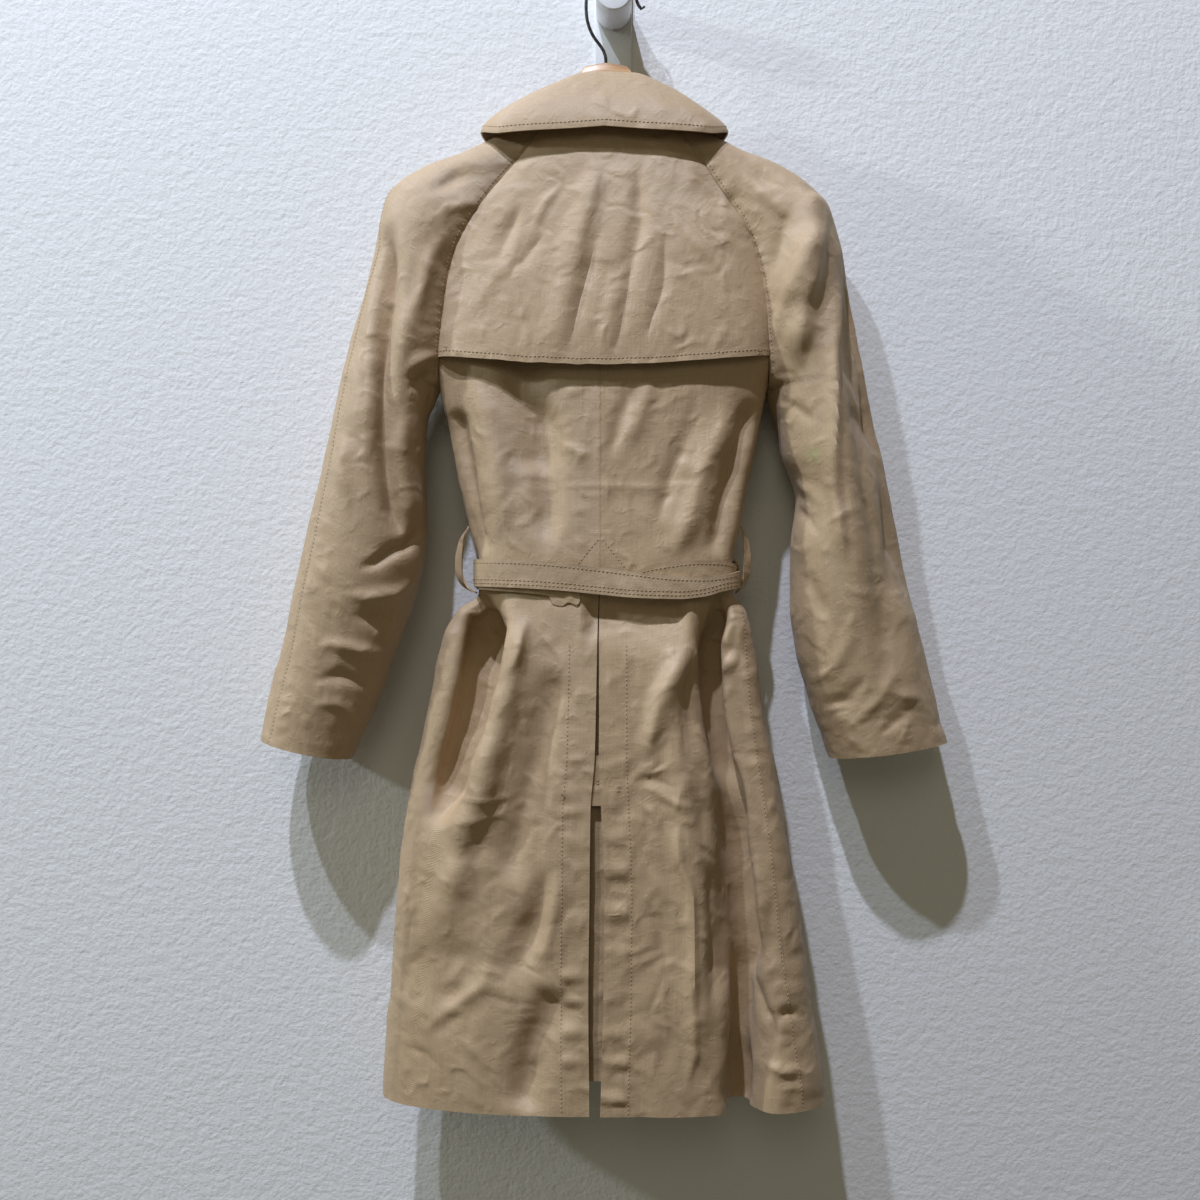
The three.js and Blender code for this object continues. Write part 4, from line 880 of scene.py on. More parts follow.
# %% [markdown]
# ## The yoke, the slit and its tab
# The storm yoke lies on the back and hangs free at its hem. It is made from the backs' own points, moved out, so
# it follows every fold under it. The pleat cloth behind the slit is made in the same way, moved in.

# %% Layers on the back
YOKE = {"bottom": -376.0, "bow": 14.0, "half": 170.0, "proud": 9.0, "free_from": -220.0}
PLEAT = {"top": -627.0, "bottom": -1084.0, "clear": 0.8, "share": 0.145}
TAB = {"top": -769.0, "bottom": -817.0, "left": -27.0, "right": -11.0}


def over_backs(panels, top, bottom, share, lift):
    """Rows of both backs in one grid, moved out by a lift that depends on the share out and on the height."""
    rows = np.flatnonzero((body_rows <= top + 0.1) & (body_rows >= bottom - 0.1))
    last = int(round(share * (INNER + OUTER)))
    halves = []
    for name in ("back_left", "back_right"):
        out = np.arange(last + 1) / last
        z = body_rows[rows][:, None]
        panel = panels[name]
        points = panel["grid"][rows, : last + 1]
        normals = panel["normals"][rows, : last + 1]
        halves.append(points + normals * lift(out[None, :], z)[..., None])
    return np.concatenate([halves[0][:, ::-1], halves[1][:, 1:]], axis=1)


def yoke_lift(out, z):
    free = (1 - out**4) * smooth(-z, -YOKE["free_from"], -YOKE["bottom"])
    return CLOTH + LAYER_GAP + YOKE["proud"] * free


yoke = over_backs(above, NECK_Z, YOKE["bottom"], 1, yoke_lift)
hem_share = smooth(-yoke[..., 2], 250, 376)
bow = 1 - ((yoke[..., 0] - CENTRE_X) / YOKE["half"]) ** 2
yoke[..., 2] -= YOKE["bow"] * bow * hem_share
pieces["back_yoke"] = cloth_mesh("back_yoke_cloth", yoke, normals_of(yoke, 1))
cuts["back_yoke"] = cut_of(yoke)


def pleat_lift(out, z):
    deep = read(SLIT, "pleat", z)
    return -(CLOTH + PLEAT["clear"] + (deep - SLIT[0]["pleat"]) * (1 - out**2))


pleat = over_backs(shell, PLEAT["top"], PLEAT["bottom"], PLEAT["share"], pleat_lift)
pieces["vent_underlay"] = cloth_mesh("vent_underlay_cloth", pleat, normals_of(pleat, 1))
cuts["vent_underlay"] = cut_of(pleat)

tab_x, tab_z = np.meshgrid(np.linspace(TAB["left"], TAB["right"], 9),
                           np.linspace(TAB["top"], TAB["bottom"], 21))
tab = np.stack([tab_x, read(BODY_LEFT, "back", tab_z) + CLOTH + 2 * LAYER_GAP, tab_z], axis=-1)
pieces["vent_tab"] = cloth_mesh("vent_tab_cloth", tab, normals_of(tab, 1), gap=0)
cuts["vent_tab"] = cut_of(tab)
print("yoke", yoke.shape, "pleat", pleat.shape)

# %% [markdown]
# ## The collar
# The stand rises from the neck edge to the roll, and the fall turns over it and drops to its free edge on a
# curve. Both are loops of rows along the neck edge.

# %% The collar's sizes
COLLAR_X = -9.5
COLLAR_TRIM = 0.14
STAND_LIFT = 2.4
ROLL_OUT, ROLL_OUT_FRONT = 9.0, 12.0
COLLAR_COLUMNS = ("at", "rollIn", "rollY", "rollUp", "edgeOut", "edgeY", "edgeZ")
COLLAR = [dict(zip(COLLAR_COLUMNS, row)) for row in (
    (0, 0, 8, 41, 0, -88, -152),
    (0.14, 6, 7, 40, 52, -87, -155),
    (0.27, 8, 6, 31, 103, -80, -156),
    (0.38, 7, 3, 19, 125, -52, -146),
    (0.46, 3, 3, 13, 122, -30, -146),
    (0.57, 8, 5, 9, 113, -13, -168),
    (0.77, 9, 5, 9, 88, -8, -224),
    (1, 6, 6, 9, 44, -5.5, -262),
)]


# %% The collar's stand and fall
def line_of(rows):
    """Rows of points joined into one line."""
    return np.concatenate([rows[0]] + [row[1:] for row in rows[1:]])


def relaxed(line, times):
    """A line with its kinks softened."""
    for _ in range(times):
        line[1:-1] = (line[:-2] + 2 * line[1:-1] + line[2:]) / 4
    return line


neck_rows = [shell[name]["grid"][0] for name in (
    "front_left", "sleeve_left_front", "sleeve_left_back", "back_left",
    "back_right", "sleeve_right_back", "sleeve_right_front", "front_right")]
turned = [neck_rows[0][::-1], neck_rows[1][::-1], neck_rows[2], neck_rows[3][::-1],
          neck_rows[4], neck_rows[5][::-1], neck_rows[6], neck_rows[7]]
for end in (0, -1):
    row = turned[end]
    keep = int(round(len(row) * (1 - COLLAR_TRIM)))
    turned[end] = row[-keep:] if end == 0 else row[:keep]
NECK_STEPS = 260
neck = relaxed(evenly(line_of(turned)[None], NECK_STEPS)[0], 6)
turn = np.linspace(-1, 1, NECK_STEPS + 1)
get = {name: read(COLLAR, name, np.abs(turn), key="at") for name in COLLAR_COLUMNS[1:]}
sign = np.sign(turn)
roll = neck + np.stack([-sign * get["rollIn"], get["rollY"], get["rollUp"]], axis=-1)
edge = np.stack([COLLAR_X + sign * get["edgeOut"], get["edgeY"], get["edgeZ"]], axis=-1)
up = (roll - neck) / np.linalg.norm(roll - neck, axis=-1, keepdims=True)
foot = neck + up * STAND_LIFT
share = np.linspace(0, 1, 9)[:, None, None]
stand = foot + (roll - foot) * share
along = np.gradient(roll, axis=0)
outward = np.cross(along, up)
outward[:, 2] = 0
outward /= np.linalg.norm(outward, axis=-1, keepdims=True)
start = roll + up * (CLOTH / 2 + 5 * SEAM_GAP)
shoulder = start + outward * (ROLL_OUT + (ROLL_OUT_FRONT - ROLL_OUT) * np.abs(turn))[:, None]
drop = edge.copy()
drop[:, 2] += 0.45 * (start[:, 2] - edge[:, 2])
t = np.linspace(0, 1, 37)[:, None, None]
fall = ((1 - t) ** 3 * start + 3 * (1 - t) ** 2 * t * shoulder + 3 * (1 - t) * t**2 * drop + t**3 * edge)
fall = fall[:, 2:-2]
pieces["collar_stand"] = cloth_mesh("collar_stand_cloth", stand, normals_of(stand, -1))
cuts["collar_stand"] = cut_of(stand)
pieces["collar_fall"] = cloth_mesh("collar_fall_cloth", fall, normals_of(fall, 1))
cuts["collar_fall"] = cut_of(fall)
print("collar", fall.shape)

# %% [markdown]
# ## The belt
# The belt goes once round the waist, through two thin loops, and is tied at the front.

# %% The belt's sizes
BELT = {"rise": 4.0, "height": 27.0, "cloth": 2.2, "clear": 3.2, "steps": 420}
KNOT = {"half_width": 23.0, "half_depth": 5.5, "half_height": 18.0}
TAIL = {"top": -627.0, "bottom": -780.0, "apart": 15.0, "spread": -0.1}
LOOP = {"y": -61.0, "width": 8.0, "cloth": 1.8, "twist": 62.0}
LOOP_PATHS = {
    "belt_loop_left": [(-146, -545), (-153, -557), (-156.5, -577), (-156, -595), (-150, -606), (-138.2, -612)],
    "belt_loop_right": [(128.4, -545), (133, -558), (134.5, -578), (133.5, -594), (130, -605), (122.4, -612)],
}


# %% The belt round the waist
# At the back the belt's two edges are given in the view. It takes a half turn before the right loop, so the
# turned part shows behind it, and a second layer of it peeps out below at the left.
BACK_Y = -60
EDGE_COLUMNS = ("x", "top", "bottom")
BELT_EDGES = [dict(zip(EDGE_COLUMNS, row)) for row in (
    (466, 559, 586), (520, 560, 588), (560, 563, 590.5), (600, 567.5, 594.5), (640, 572.5, 598),
    (680, 576.5, 599), (704, 577, 596.5), (724, 575, 591), (742, 570, 588), (760, 561, 588),
)]
TURNED_EDGES = [dict(zip(EDGE_COLUMNS, row)) for row in (
    (628, 573, 580), (644, 568.5, 584), (664, 564.5, 588), (700, 560.5, 590), (726, 561.5, 588),
    (740, 566, 586),
)]
SECOND_EDGES = [dict(zip(EDGE_COLUMNS, row)) for row in (
    (468, 572, 588.5), (500, 573, 591), (530, 575, 593.5), (548, 577, 596), (553, 578, 604), (562, 580, 606),
    (568, 580, 602.5), (577, 582, 605), (582, 584, 597),
)]
TURN_OUT = 2.9


def belt_line():
    turns = np.linspace(0, math.pi, FINE + 1)[None]
    z = np.array([[BELT_Z]])
    left, right = body_point(LEFT, z, turns)[0], body_point(RIGHT, z, turns)[0]
    ring = np.concatenate([left, right[::-1][1:-1], left[:1]])
    return np.roll(evenly(ring[None], BELT["steps"])[0][:-1], BELT["steps"] // 2, axis=0)


ring = belt_line()
side_step = np.roll(ring, -1, axis=0) - np.roll(ring, 1, axis=0)
out = np.stack([-side_step[:, 1], side_step[:, 0], 0 * side_step[:, 0]], axis=-1)
out /= np.linalg.norm(out, axis=-1, keepdims=True)


def height_of(down, points):
    """The height in millimetres at which a point shows that far down the view."""
    return EYE["z"] - (down - VIEW / 2) * (points[:, 1] - EYE["y"]) / VIEW


def belt_band(edges, far, rows, reach=None):
    """A band of belt at a distance from the body, between two edges given in the view, all round or in a reach."""
    line = ring + out * np.reshape(far, (-1, 1))
    seen_x = seen(line)[:, 0]
    at_back = line[:, 1] < BACK_Y
    top, bottom = (np.where(at_back, height_of(read(edges, name, seen_x, key="x"), line), plain)
                   for name, plain in (("top", BELT_Z + 17.5), ("bottom", BELT_Z - 9.5)))
    order = np.arange(len(line))
    if reach:
        order = order[at_back & (seen_x > reach[0]) & (seen_x < reach[1])]
        order = order[np.argsort(seen_x[order])]
    share = np.linspace(0, 1, rows)[:, None]
    band = np.repeat(line[None, order], rows, axis=0)
    band[..., 2] = top[order] + (bottom[order] - top[order]) * share
    return band, np.repeat(out[None, order], rows, axis=0)


def join(name, parts):
    """Several pieces made one."""
    bpy.ops.object.select_all(action="DESELECT")
    for part in parts:
        part.select_set(True)
    bpy.context.view_layer.objects.active = parts[0]
    bpy.ops.object.join()
    parts[0].name = name
    return parts[0]


far = CLOTH / 2 + BELT["clear"] + BELT["cloth"] / 2
view_x = seen(ring)[:, 0]
turning = np.where(ring[:, 1] < BACK_Y, smooth(view_x, 612, 640) * (1 - smooth(view_x, 728, 744)), 0)
belt, belt_normals = belt_band(BELT_EDGES, far + TURN_OUT * turning, 13)
ripple = 0.5 * noise(belt, 26, 31)[..., None]
belt = belt + belt_normals * ripple
belt = np.concatenate([belt, belt[:, :1]], axis=1)
belt_normals = np.concatenate([belt_normals, belt_normals[:, :1]], axis=1)
turned_back, turned_normals = belt_band(TURNED_EDGES, far - 0.2, 9, (628, 740))
second, second_normals = belt_band(SECOND_EDGES, far - 2.2, 12, (468, 581))
second = second + second_normals * (0.7 * noise(second, 7, 33) * smooth(-second[..., 2], 607, 612))[..., None]
belt_parts = [
    cloth_mesh("belt_cloth", belt, belt_normals, BELT["cloth"], gap=0),
    cloth_mesh("belt_turned", turned_back, turned_normals, 1.6, gap=0),
    cloth_mesh("belt_second", second, second_normals, 1.0, gap=0),
]
pieces["belt"] = join("belt_cloth", belt_parts)
# The belt is one strip 27 mm wide. The turned part and the second layer are more of its cloth, so the size that is
# kept for it has 20 mm of width added to hold their area. It isn't the width that the belt is cut to.
LAYERS_WIDTH = 0.02
(around_waist, high), area = cut_of(belt)
area = area + cut_of(turned_back)[1] + cut_of(second)[1]
high += LAYERS_WIDTH
cuts["belt"] = ((around_waist, high), min(area, around_waist * high))
print("belt goes round", round(around_waist, 3), "m")


def front_out(z):
    return read(BODY_LEFT, "front", z) + OVERLAP_LIFT + CLOTH / 2


for name, side in (("belt_tail_left", LEFT), ("belt_tail_right", RIGHT)):
    z = np.linspace(TAIL["top"], TAIL["bottom"], 40)
    across = np.linspace(-0.5, 0.5, 9) * BELT["height"]
    x = CENTRE_X + side * (TAIL["apart"] + TAIL["spread"] * (z - TAIL["top"]))[:, None] + across
    y = np.broadcast_to((front_out(z) + 2 * LAYER_GAP + BELT["cloth"] / 2)[:, None], x.shape)
    tail = np.stack([x, y, np.broadcast_to(z[:, None], x.shape)], axis=-1)
    pieces[name] = cloth_mesh(name + "_cloth", tail, normals_of(tail, -1), BELT["cloth"], gap=0)
    cuts[name] = cut_of(tail)

# %% [markdown]
# ### The knot and the loops
# The knot hangs at the hidden front, so a soft lump with pinched wraps is enough. The two loops are thin strips
# that stand away from the side seams, and each turns its flat side a little to the room.

# %% The knot and the loops
# The knot is the belt wrapped once round itself: a closed lump, pinched where the wrap pulls it in. It isn't a
# flat strip, so the size that is kept for it is judged and not measured.
KNOT_CUT = ((0.030, 0.066), 0.0018)
around, up_down = np.meshgrid(np.linspace(0, 2 * math.pi, 49), np.linspace(-0.5, 0.5, 25) * math.pi * 0.97)


def power(value, exponent):
    return np.sign(value) * np.abs(value) ** exponent


turns = 0.10 * np.cos(6 * around + 5 * up_down) ** 2
wrap = 1 - turns - 0.12 * np.exp(-((up_down / 0.35) ** 2)) * np.cos(around) ** 2
knot_x = CENTRE_X + KNOT["half_width"] * power(np.cos(up_down), 0.6) * power(np.cos(around), 0.7) * wrap
knot_z = BELT_Z + BELT["rise"] + KNOT["half_height"] * power(np.sin(up_down), 0.8) * wrap
knot_middle = sum(corner[1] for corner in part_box("belt_knot")) / 2 / MM
knot_y = knot_middle + KNOT["half_depth"] * power(np.cos(up_down), 0.6) * power(np.sin(around), 0.7) * wrap
knot = np.stack([knot_x, knot_y, knot_z], axis=-1)
columns = knot.shape[1] - 1
ringed = knot[:, :-1].reshape(-1, 3)
points = np.concatenate([ringed, knot[0, :-1].mean(axis=0)[None], knot[-1, :-1].mean(axis=0)[None]])
faces = []
for row in range(knot.shape[0] - 1):
    for column in range(columns):
        after = (column + 1) % columns
        faces.append((row * columns + column, row * columns + after, (row + 1) * columns + after,
                      (row + 1) * columns + column))
last = (knot.shape[0] - 1) * columns
faces += [(len(ringed), (column + 1) % columns, column) for column in range(columns)]
faces += [(len(ringed) + 1, last + column, last + (column + 1) % columns) for column in range(columns)]
knot_mesh = bpy.data.meshes.new("belt_knot_cloth")
knot_mesh.from_pydata((points * MM).tolist(), [], faces)
cloth_layer = knot_mesh.uv_layers.new(name="cloth")
for loop in knot_mesh.loops:
    spot = knot_mesh.vertices[loop.vertex_index].co
    cloth_layer.data[loop.index].uv = (spot.x, spot.z)
knot_mesh.shade_smooth()
pieces["belt_knot"] = linked("belt_knot_cloth", knot_mesh)
picked(pieces["belt_knot"])
bpy.ops.object.mode_set(mode="EDIT")
bpy.ops.mesh.select_all(action="SELECT")
bpy.ops.mesh.normals_make_consistent(inside=False)
bpy.ops.object.mode_set(mode="OBJECT")
cuts["belt_knot"] = KNOT_CUT

for name, path in LOOP_PATHS.items():
    line = np.array([(x, LOOP["y"], z) for x, z in path], float)
    line = relaxed(evenly(line[None], 40)[0], 8)
    twist = math.radians(LOOP["twist"]) * np.sin(np.linspace(0, math.pi, len(line)))
    across = np.stack([np.sign(path[0][0]) * np.sin(twist), np.cos(twist), 0 * twist], axis=-1)
    tape = line[:, None] + across[:, None] * (np.linspace(-0.5, 0.5, 5) * LOOP["width"])[None, :, None]
    pieces[name] = cloth_mesh(name + "_cloth", tape, normals_of(tape, 1), LOOP["cloth"], gap=0)
    cuts[name] = cut_of(tape)
print("belt pieces done")

# %% [markdown]
# ## Topstitching
# A trench coat is sewn with lines of stitches that show: beside the raglan seams, round the collar and the yoke,
# down both sides of the slit and along the belt. Each stitch is a thin spindle of thread, 16 triangles, and all
# of them are one mesh. They could be a dotted line in the material, but then they would catch no light.

# %% Stitches
THREAD = {"length": 2.8, "gap": 1.3, "half": 0.48, "lift": 0.12}
stitch_points, stitch_faces = [], []


def from_edge(grid, edge):
    """The grid turned so that each of its rows starts at one edge."""
    rows = grid.transpose(1, 0, 2) if edge in ("top", "bottom") else grid
    return rows[:, ::-1] if edge in ("last", "bottom") else rows


def inset(grid, normals, edge, far):
    """A line on the cloth that runs at a distance inside one edge of its grid."""
    line, outs = [], []
    for points, arrows in zip(from_edge(grid, edge), from_edge(normals, edge)):
        reach = reach_of(points)
        line.append([np.interp(far, reach, points[:, k]) for k in range(3)])
        outs.append([np.interp(far, reach, arrows[:, k]) for k in range(3)])
    return np.array(line), np.array(outs)


def sew(line, outs, cloth=CLOTH):
    """Stitches along a line on the middle of a cloth, standing on its outer face."""
    reach, length = reach_of(line), THREAD["length"]
    begin = np.arange(THREAD["gap"], reach[-1] - length, length + THREAD["gap"])
    if not len(begin):
        return

    def at(far, values):
        return np.stack([np.interp(far, reach, values[:, k]) for k in range(3)], axis=-1)

    up = at(begin + length / 2, outs)
    up /= np.linalg.norm(up, axis=-1, keepdims=True)
    ends = [at(begin + length * share, line) for share in (0, 0.22, 0.78, 1)]
    along = ends[3] - ends[0]
    along /= np.linalg.norm(along, axis=-1, keepdims=True)
    side = np.cross(along, up)
    for number in range(len(begin)):
        base = up[number] * cloth / 2
        block = [ends[0][number] + base - up[number] * 0.1]
        for share in (1, 2):
            centre = ends[share][number] + base + up[number] * THREAD["lift"]
            for turn in range(4):
                angle = math.pi * (turn / 2 + 0.25)
                spoke = math.cos(angle) * side[number] + math.sin(angle) * up[number]
                block.append(centre + THREAD["half"] * spoke)
        block.append(ends[3][number] + base - up[number] * 0.1)
        first = len(block) * len(stitch_points)
        stitch_points.append(np.array(block))
        for turn in range(4):
            a, b = first + 1 + turn, first + 1 + (turn + 1) % 4
            stitch_faces.append((first, b, a))
            stitch_faces.append((a, b, b + 4, a + 4))
            stitch_faces.append((first + 9, a + 4, b + 4))


def sew_inset(grid, normals, edge, far, keep=slice(None), cloth=CLOTH):
    line, outs = inset(grid, normals, edge, far)
    sew(line[keep], outs[keep], cloth)


def rows_below(z):
    return slice(np.flatnonzero(body_rows < z)[0], None)


SLIT_SEWN_FROM, SIDE_SEWN_FROM = -660, -628
raglan_rows = slice(3, len(raglan) - 3)
for hand, slit_in in (("left", 27), ("right", 26.5)):
    for face in ("back", "front"):
        arm = shell[f"sleeve_{hand}_{face}"]
        sew_inset(arm["grid"], arm["normals"], "last", 6.5, raglan_rows)
    back = shell["back_" + hand]
    sew_inset(back["grid"], back["normals"], "first", slit_in, rows_below(SLIT_SEWN_FROM))
    sew_inset(back["grid"], back["normals"], "last", 2.0, rows_below(SIDE_SEWN_FROM))
    front = shell["front_" + hand]
    sew_inset(front["grid"], front["normals"], "last", 7.0)
arm = shell["sleeve_left_back"]
sew_inset(arm["grid"], arm["normals"], "first", 2.2, slice(40, None))
yoke_normals = normals_of(yoke, -1)
sew_inset(yoke, yoke_normals, "bottom", 6.0)
fall_normals = normals_of(fall, -1)
for edge_name in ("bottom", "first", "last"):
    sew_inset(fall, fall_normals, edge_name, 6.5)
for edge_name, far_in in (("bottom", 3.6), ("bottom", 7.4), ("top", 3.4)):
    sew_inset(belt, belt_normals, edge_name, far_in, cloth=BELT["cloth"])
sew_inset(turned_back, turned_normals, "top", 3.2, cloth=1.6)
for far_down in (24, 27):
    sew_inset(tab, normals_of(tab, -1), "top", far_down)
print("stitches along the edges:", len(stitch_points))


# %% [markdown]
# ### Short seams on the back
# The triangle above the belt and the small bars at the slit and the yoke's ends lie across the panels, so they
# can't follow an edge. Each is a short path in the view, and a ray finds where it meets the cloth.

# %% Stitches placed in the view
def tree_of(piece):
    mesh = piece.data
    return BVHTree.FromPolygons([v.co for v in mesh.vertices], [p.vertices for p in mesh.polygons])


back_trees = [tree_of(pieces["back_left"]), tree_of(pieces["back_right"]), tree_of(pieces["back_yoke"])]


def in_view(path, count=40):
    """Points and normals on the back's outer face where a path in the view meets it."""
    steps = evenly(np.array([(x, y, 0) for x, y in path], float)[None], count)[0]
    line, outs = [], []
    eye = camera.location
    for x, y, _ in steps:
        ray = Vector(((x - VIEW / 2) / VIEW, 1, -(y - VIEW / 2) / VIEW)).normalized()
        hits = [hit for hit in (tree.ray_cast(eye, ray) for tree in back_trees) if hit[0]]
        if hits:
            near = min(hits, key=lambda hit: hit[3])
            line.append(np.array(near[0]) / MM)
            outs.append(np.array(near[1]))
    return np.array(line), np.array(outs)


VIEW_SEAMS = [
    [(599, 538), (577, 565)], [(601, 538), (626, 569)],
    [(618, 784), (617, 794)], [(620, 784), (619, 794)],
    [(443, 345), (449, 352)], [(448, 345), (443, 352)], [(757, 349), (763, 355)], [(762, 349), (757, 355)],
    [(562, 799), (568, 794)], [(560, 796), (566, 791)],
]
for path in VIEW_SEAMS:
    sew(*in_view(path), cloth=0)
every_point = np.concatenate(stitch_points)
stitching = bpy.data.meshes.new("topstitching")
stitching.from_pydata((every_point * MM).tolist(), [], stitch_faces)
stitching.shade_smooth()
topstitching = linked("topstitching", stitching)
print("stitches:", len(stitch_points), "triangles:", sum(len(f) - 2 for f in stitch_faces))

# %% [markdown]
# ## Materials
# Each finish is built from nodes. A texture image would need a file and would stretch over the panels, while
# nodes can read the cloth's own map, which every panel carries in metres, so the weave has one size all over.

# %% Node helpers
def new_material(name, colour, rough, metallic=0.0):
    material = bpy.data.materials.new(name)
    material.use_nodes = True
    shader = material.node_tree.nodes["Principled BSDF"]
    shader.inputs["Base Color"].default_value = (*colour, 1)
    shader.inputs["Roughness"].default_value = rough
    shader.inputs["Metallic"].default_value = metallic
    return material, material.node_tree, shader


def add_node(tree, kind, inputs=(), **settings):
    """Adds a node with its settings, and links or sets its inputs."""
    node = tree.nodes.new(kind)
    for key, value in settings.items():
        setattr(node, key, value)
    for key, value in dict(inputs).items():
        if isinstance(value, bpy.types.NodeSocket):
            tree.links.new(value, node.inputs[key])
        else:
            node.inputs[key].default_value = value
    return node


def sum_up(tree, *terms):
    """The sum of sockets, each times its own weight."""
    total = None
    for socket, weight in terms:
        inputs = {0: socket, 1: weight}
        if total is None:
            total = add_node(tree, "ShaderNodeMath", inputs, operation="MULTIPLY").outputs[0]
        else:
            total = add_node(tree, "ShaderNodeMath", {**inputs, 2: total}, operation="MULTIPLY_ADD").outputs[0]
    return total


def noise_at(tree, place, scale, detail, inputs=(), **settings):
    """A noise texture's value at a place."""
    inputs = {"Vector": place, "Scale": scale, "Detail": detail, **dict(inputs)}
    return add_node(tree, "ShaderNodeTexNoise", inputs, **settings).outputs["Fac"]


def ramp_from(tree, value, low, high, places=(0.0, 1.0)):
    """The colour between two colours at a value between two places."""
    ramp = add_node(tree, "ShaderNodeValToRGB", {"Fac": value})
    for element, place, colour in zip(ramp.color_ramp.elements, places, (low, high)):
        element.position, element.color = place, (*colour, 1)
    return ramp.outputs["Color"]


def object_place(tree):
    return add_node(tree, "ShaderNodeTexCoord").outputs["Object"]


def raise_and_paint(tree, shader, height, strength, distance, colour=None):
    """Gives a shader its bump, and its colour where that isn't plain."""
    bump = add_node(tree, "ShaderNodeBump", {"Height": height, "Strength": strength, "Distance": distance})
    tree.links.new(bump.outputs["Normal"], shader.inputs["Normal"])
    if colour is not None:
        tree.links.new(colour, shader.inputs["Base Color"])


print("helpers ready")

# %% [markdown]
# ### The weave group
# Gabardine is a steep twill: fine diagonal ribs, less than a millimetre apart. Warp threads differ a little in
# thickness, which shows as faint streaks down the cloth. Cloth and belt share the weave, so it is a node group.

# %% Weave group
weave = bpy.data.node_groups.new("twill_weave", "ShaderNodeTree")
for socket_name, low in (("Rib pitch", 0.0009), ("Wrinkle size", 0.03)):
    socket = weave.interface.new_socket(socket_name, in_out="INPUT", socket_type="NodeSocketFloat")
    socket.default_value = low
weave.interface.new_socket("Tone", in_out="OUTPUT", socket_type="NodeSocketFloat")
weave.interface.new_socket("Height", in_out="OUTPUT", socket_type="NodeSocketFloat")
weave_in = weave.nodes.new("NodeGroupInput")
weave_out = weave.nodes.new("NodeGroupOutput")
cloth_map = add_node(weave, "ShaderNodeUVMap", uv_map="cloth").outputs["UV"]
in_object = object_place(weave)
turned_map = add_node(weave, "ShaderNodeMapping", {"Vector": cloth_map, "Rotation": (0, 0, math.radians(27))})
per_metre = add_node(weave, "ShaderNodeMath", {0: 0.31416, 1: weave_in.outputs["Rib pitch"]}, operation="DIVIDE")
ribs = add_node(weave, "ShaderNodeTexWave", {"Vector": turned_map.outputs[0], "Scale": per_metre.outputs[0],
                                             "Distortion": 1.2, "Detail": 1.0}, bands_direction="X")
ribs = ribs.outputs["Fac"]
down_warp = add_node(weave, "ShaderNodeMapping", {"Vector": cloth_map, "Scale": (900, 22, 1)})
across_weft = add_node(weave, "ShaderNodeMapping", {"Vector": cloth_map, "Scale": (26, 700, 1)})
streaks = noise_at(weave, down_warp.outputs[0], 1.0, 2.0)
slubs = noise_at(weave, across_weft.outputs[0], 1.0, 2.0)
blotches = noise_at(weave, in_object, 9.0, 3.0)
specks = noise_at(weave, in_object, 620.0, 2.0, {"Roughness": 0.7})
size = add_node(weave, "ShaderNodeMath", {0: 1.0, 1: weave_in.outputs["Wrinkle size"]}, operation="DIVIDE")
finer = add_node(weave, "ShaderNodeMath", {0: size.outputs[0], 1: 2.7}, operation="MULTIPLY")
wrinkles = noise_at(weave, in_object, size.outputs[0], 4.0, {"Roughness": 0.55, "Distortion": 0.6},
                    noise_type="RIDGED_MULTIFRACTAL")
small_wrinkles = noise_at(weave, in_object, finer.outputs[0], 3.0, {"Distortion": 0.9},
                          noise_type="RIDGED_MULTIFRACTAL")
tone = sum_up(weave, (streaks, 0.28), (slubs, 0.22), (ribs, 0.08), (blotches, 0.20), (specks, 0.22))
height = sum_up(weave, (ribs, 0.03), (streaks, 0.04), (slubs, 0.03), (wrinkles, 0.6), (small_wrinkles, 0.10),
                (specks, 0.035))
weave.links.new(tone, weave_out.inputs["Tone"])
weave.links.new(height, weave_out.inputs["Height"])
print("weave group:", len(weave.nodes), "nodes")

# %% [markdown]
# ### Gabardine
# The cloth is a warm beige whose tone drifts a little, with a low sheen where it turns to the light. The
# weave's height goes through a Bump node, as carving it in the mesh would take millions of faces.

# %% Gabardine
# Two pairs of faint marks, green and pink, lie on the right sleeve and on the right side.
GREEN, PINK = (0.42, 0.52, 0.20), (0.60, 0.38, 0.44)
MARKS = [((190, -98, -478), GREEN), ((186, -98, -496), PINK),
         ((137, -108, -690), GREEN), ((134, -108, -672), PINK)]


def cloth_finish(name, dark, pale, rough, wrinkle_size):
    material, tree, shader = new_material(name, pale, rough)
    group = add_node(tree, "ShaderNodeGroup", node_tree=weave)
    group.inputs["Wrinkle size"].default_value = wrinkle_size
    colour = ramp_from(tree, group.outputs["Tone"], dark, pale, (0.3, 0.7))
    place = object_place(tree)
    for centre, tint in MARKS:
        spot = {0: place, 1: [v * MM for v in centre]}
        away = add_node(tree, "ShaderNodeVectorMath", spot, operation="DISTANCE")
        inside = add_node(tree, "ShaderNodeMapRange", {"Value": away.outputs["Value"], "From Min": 0.004,
                                                       "From Max": 0.014, "To Min": 0.4, "To Max": 0.0})
        colour = add_node(tree, "ShaderNodeMix", {0: inside.outputs[0], 6: colour, 7: (*tint, 1)},
                          data_type="RGBA").outputs[2]
    raise_and_paint(tree, shader, group.outputs["Height"], 0.8, 0.005, colour)
    shader.inputs["Specular IOR Level"].default_value = 0.6
    shader.inputs["Sheen Weight"].default_value = 0.06
    shader.inputs["Sheen Roughness"].default_value = 0.4
    shader.inputs["Sheen Tint"].default_value = (0.95, 0.95, 1.0, 1)
    return material


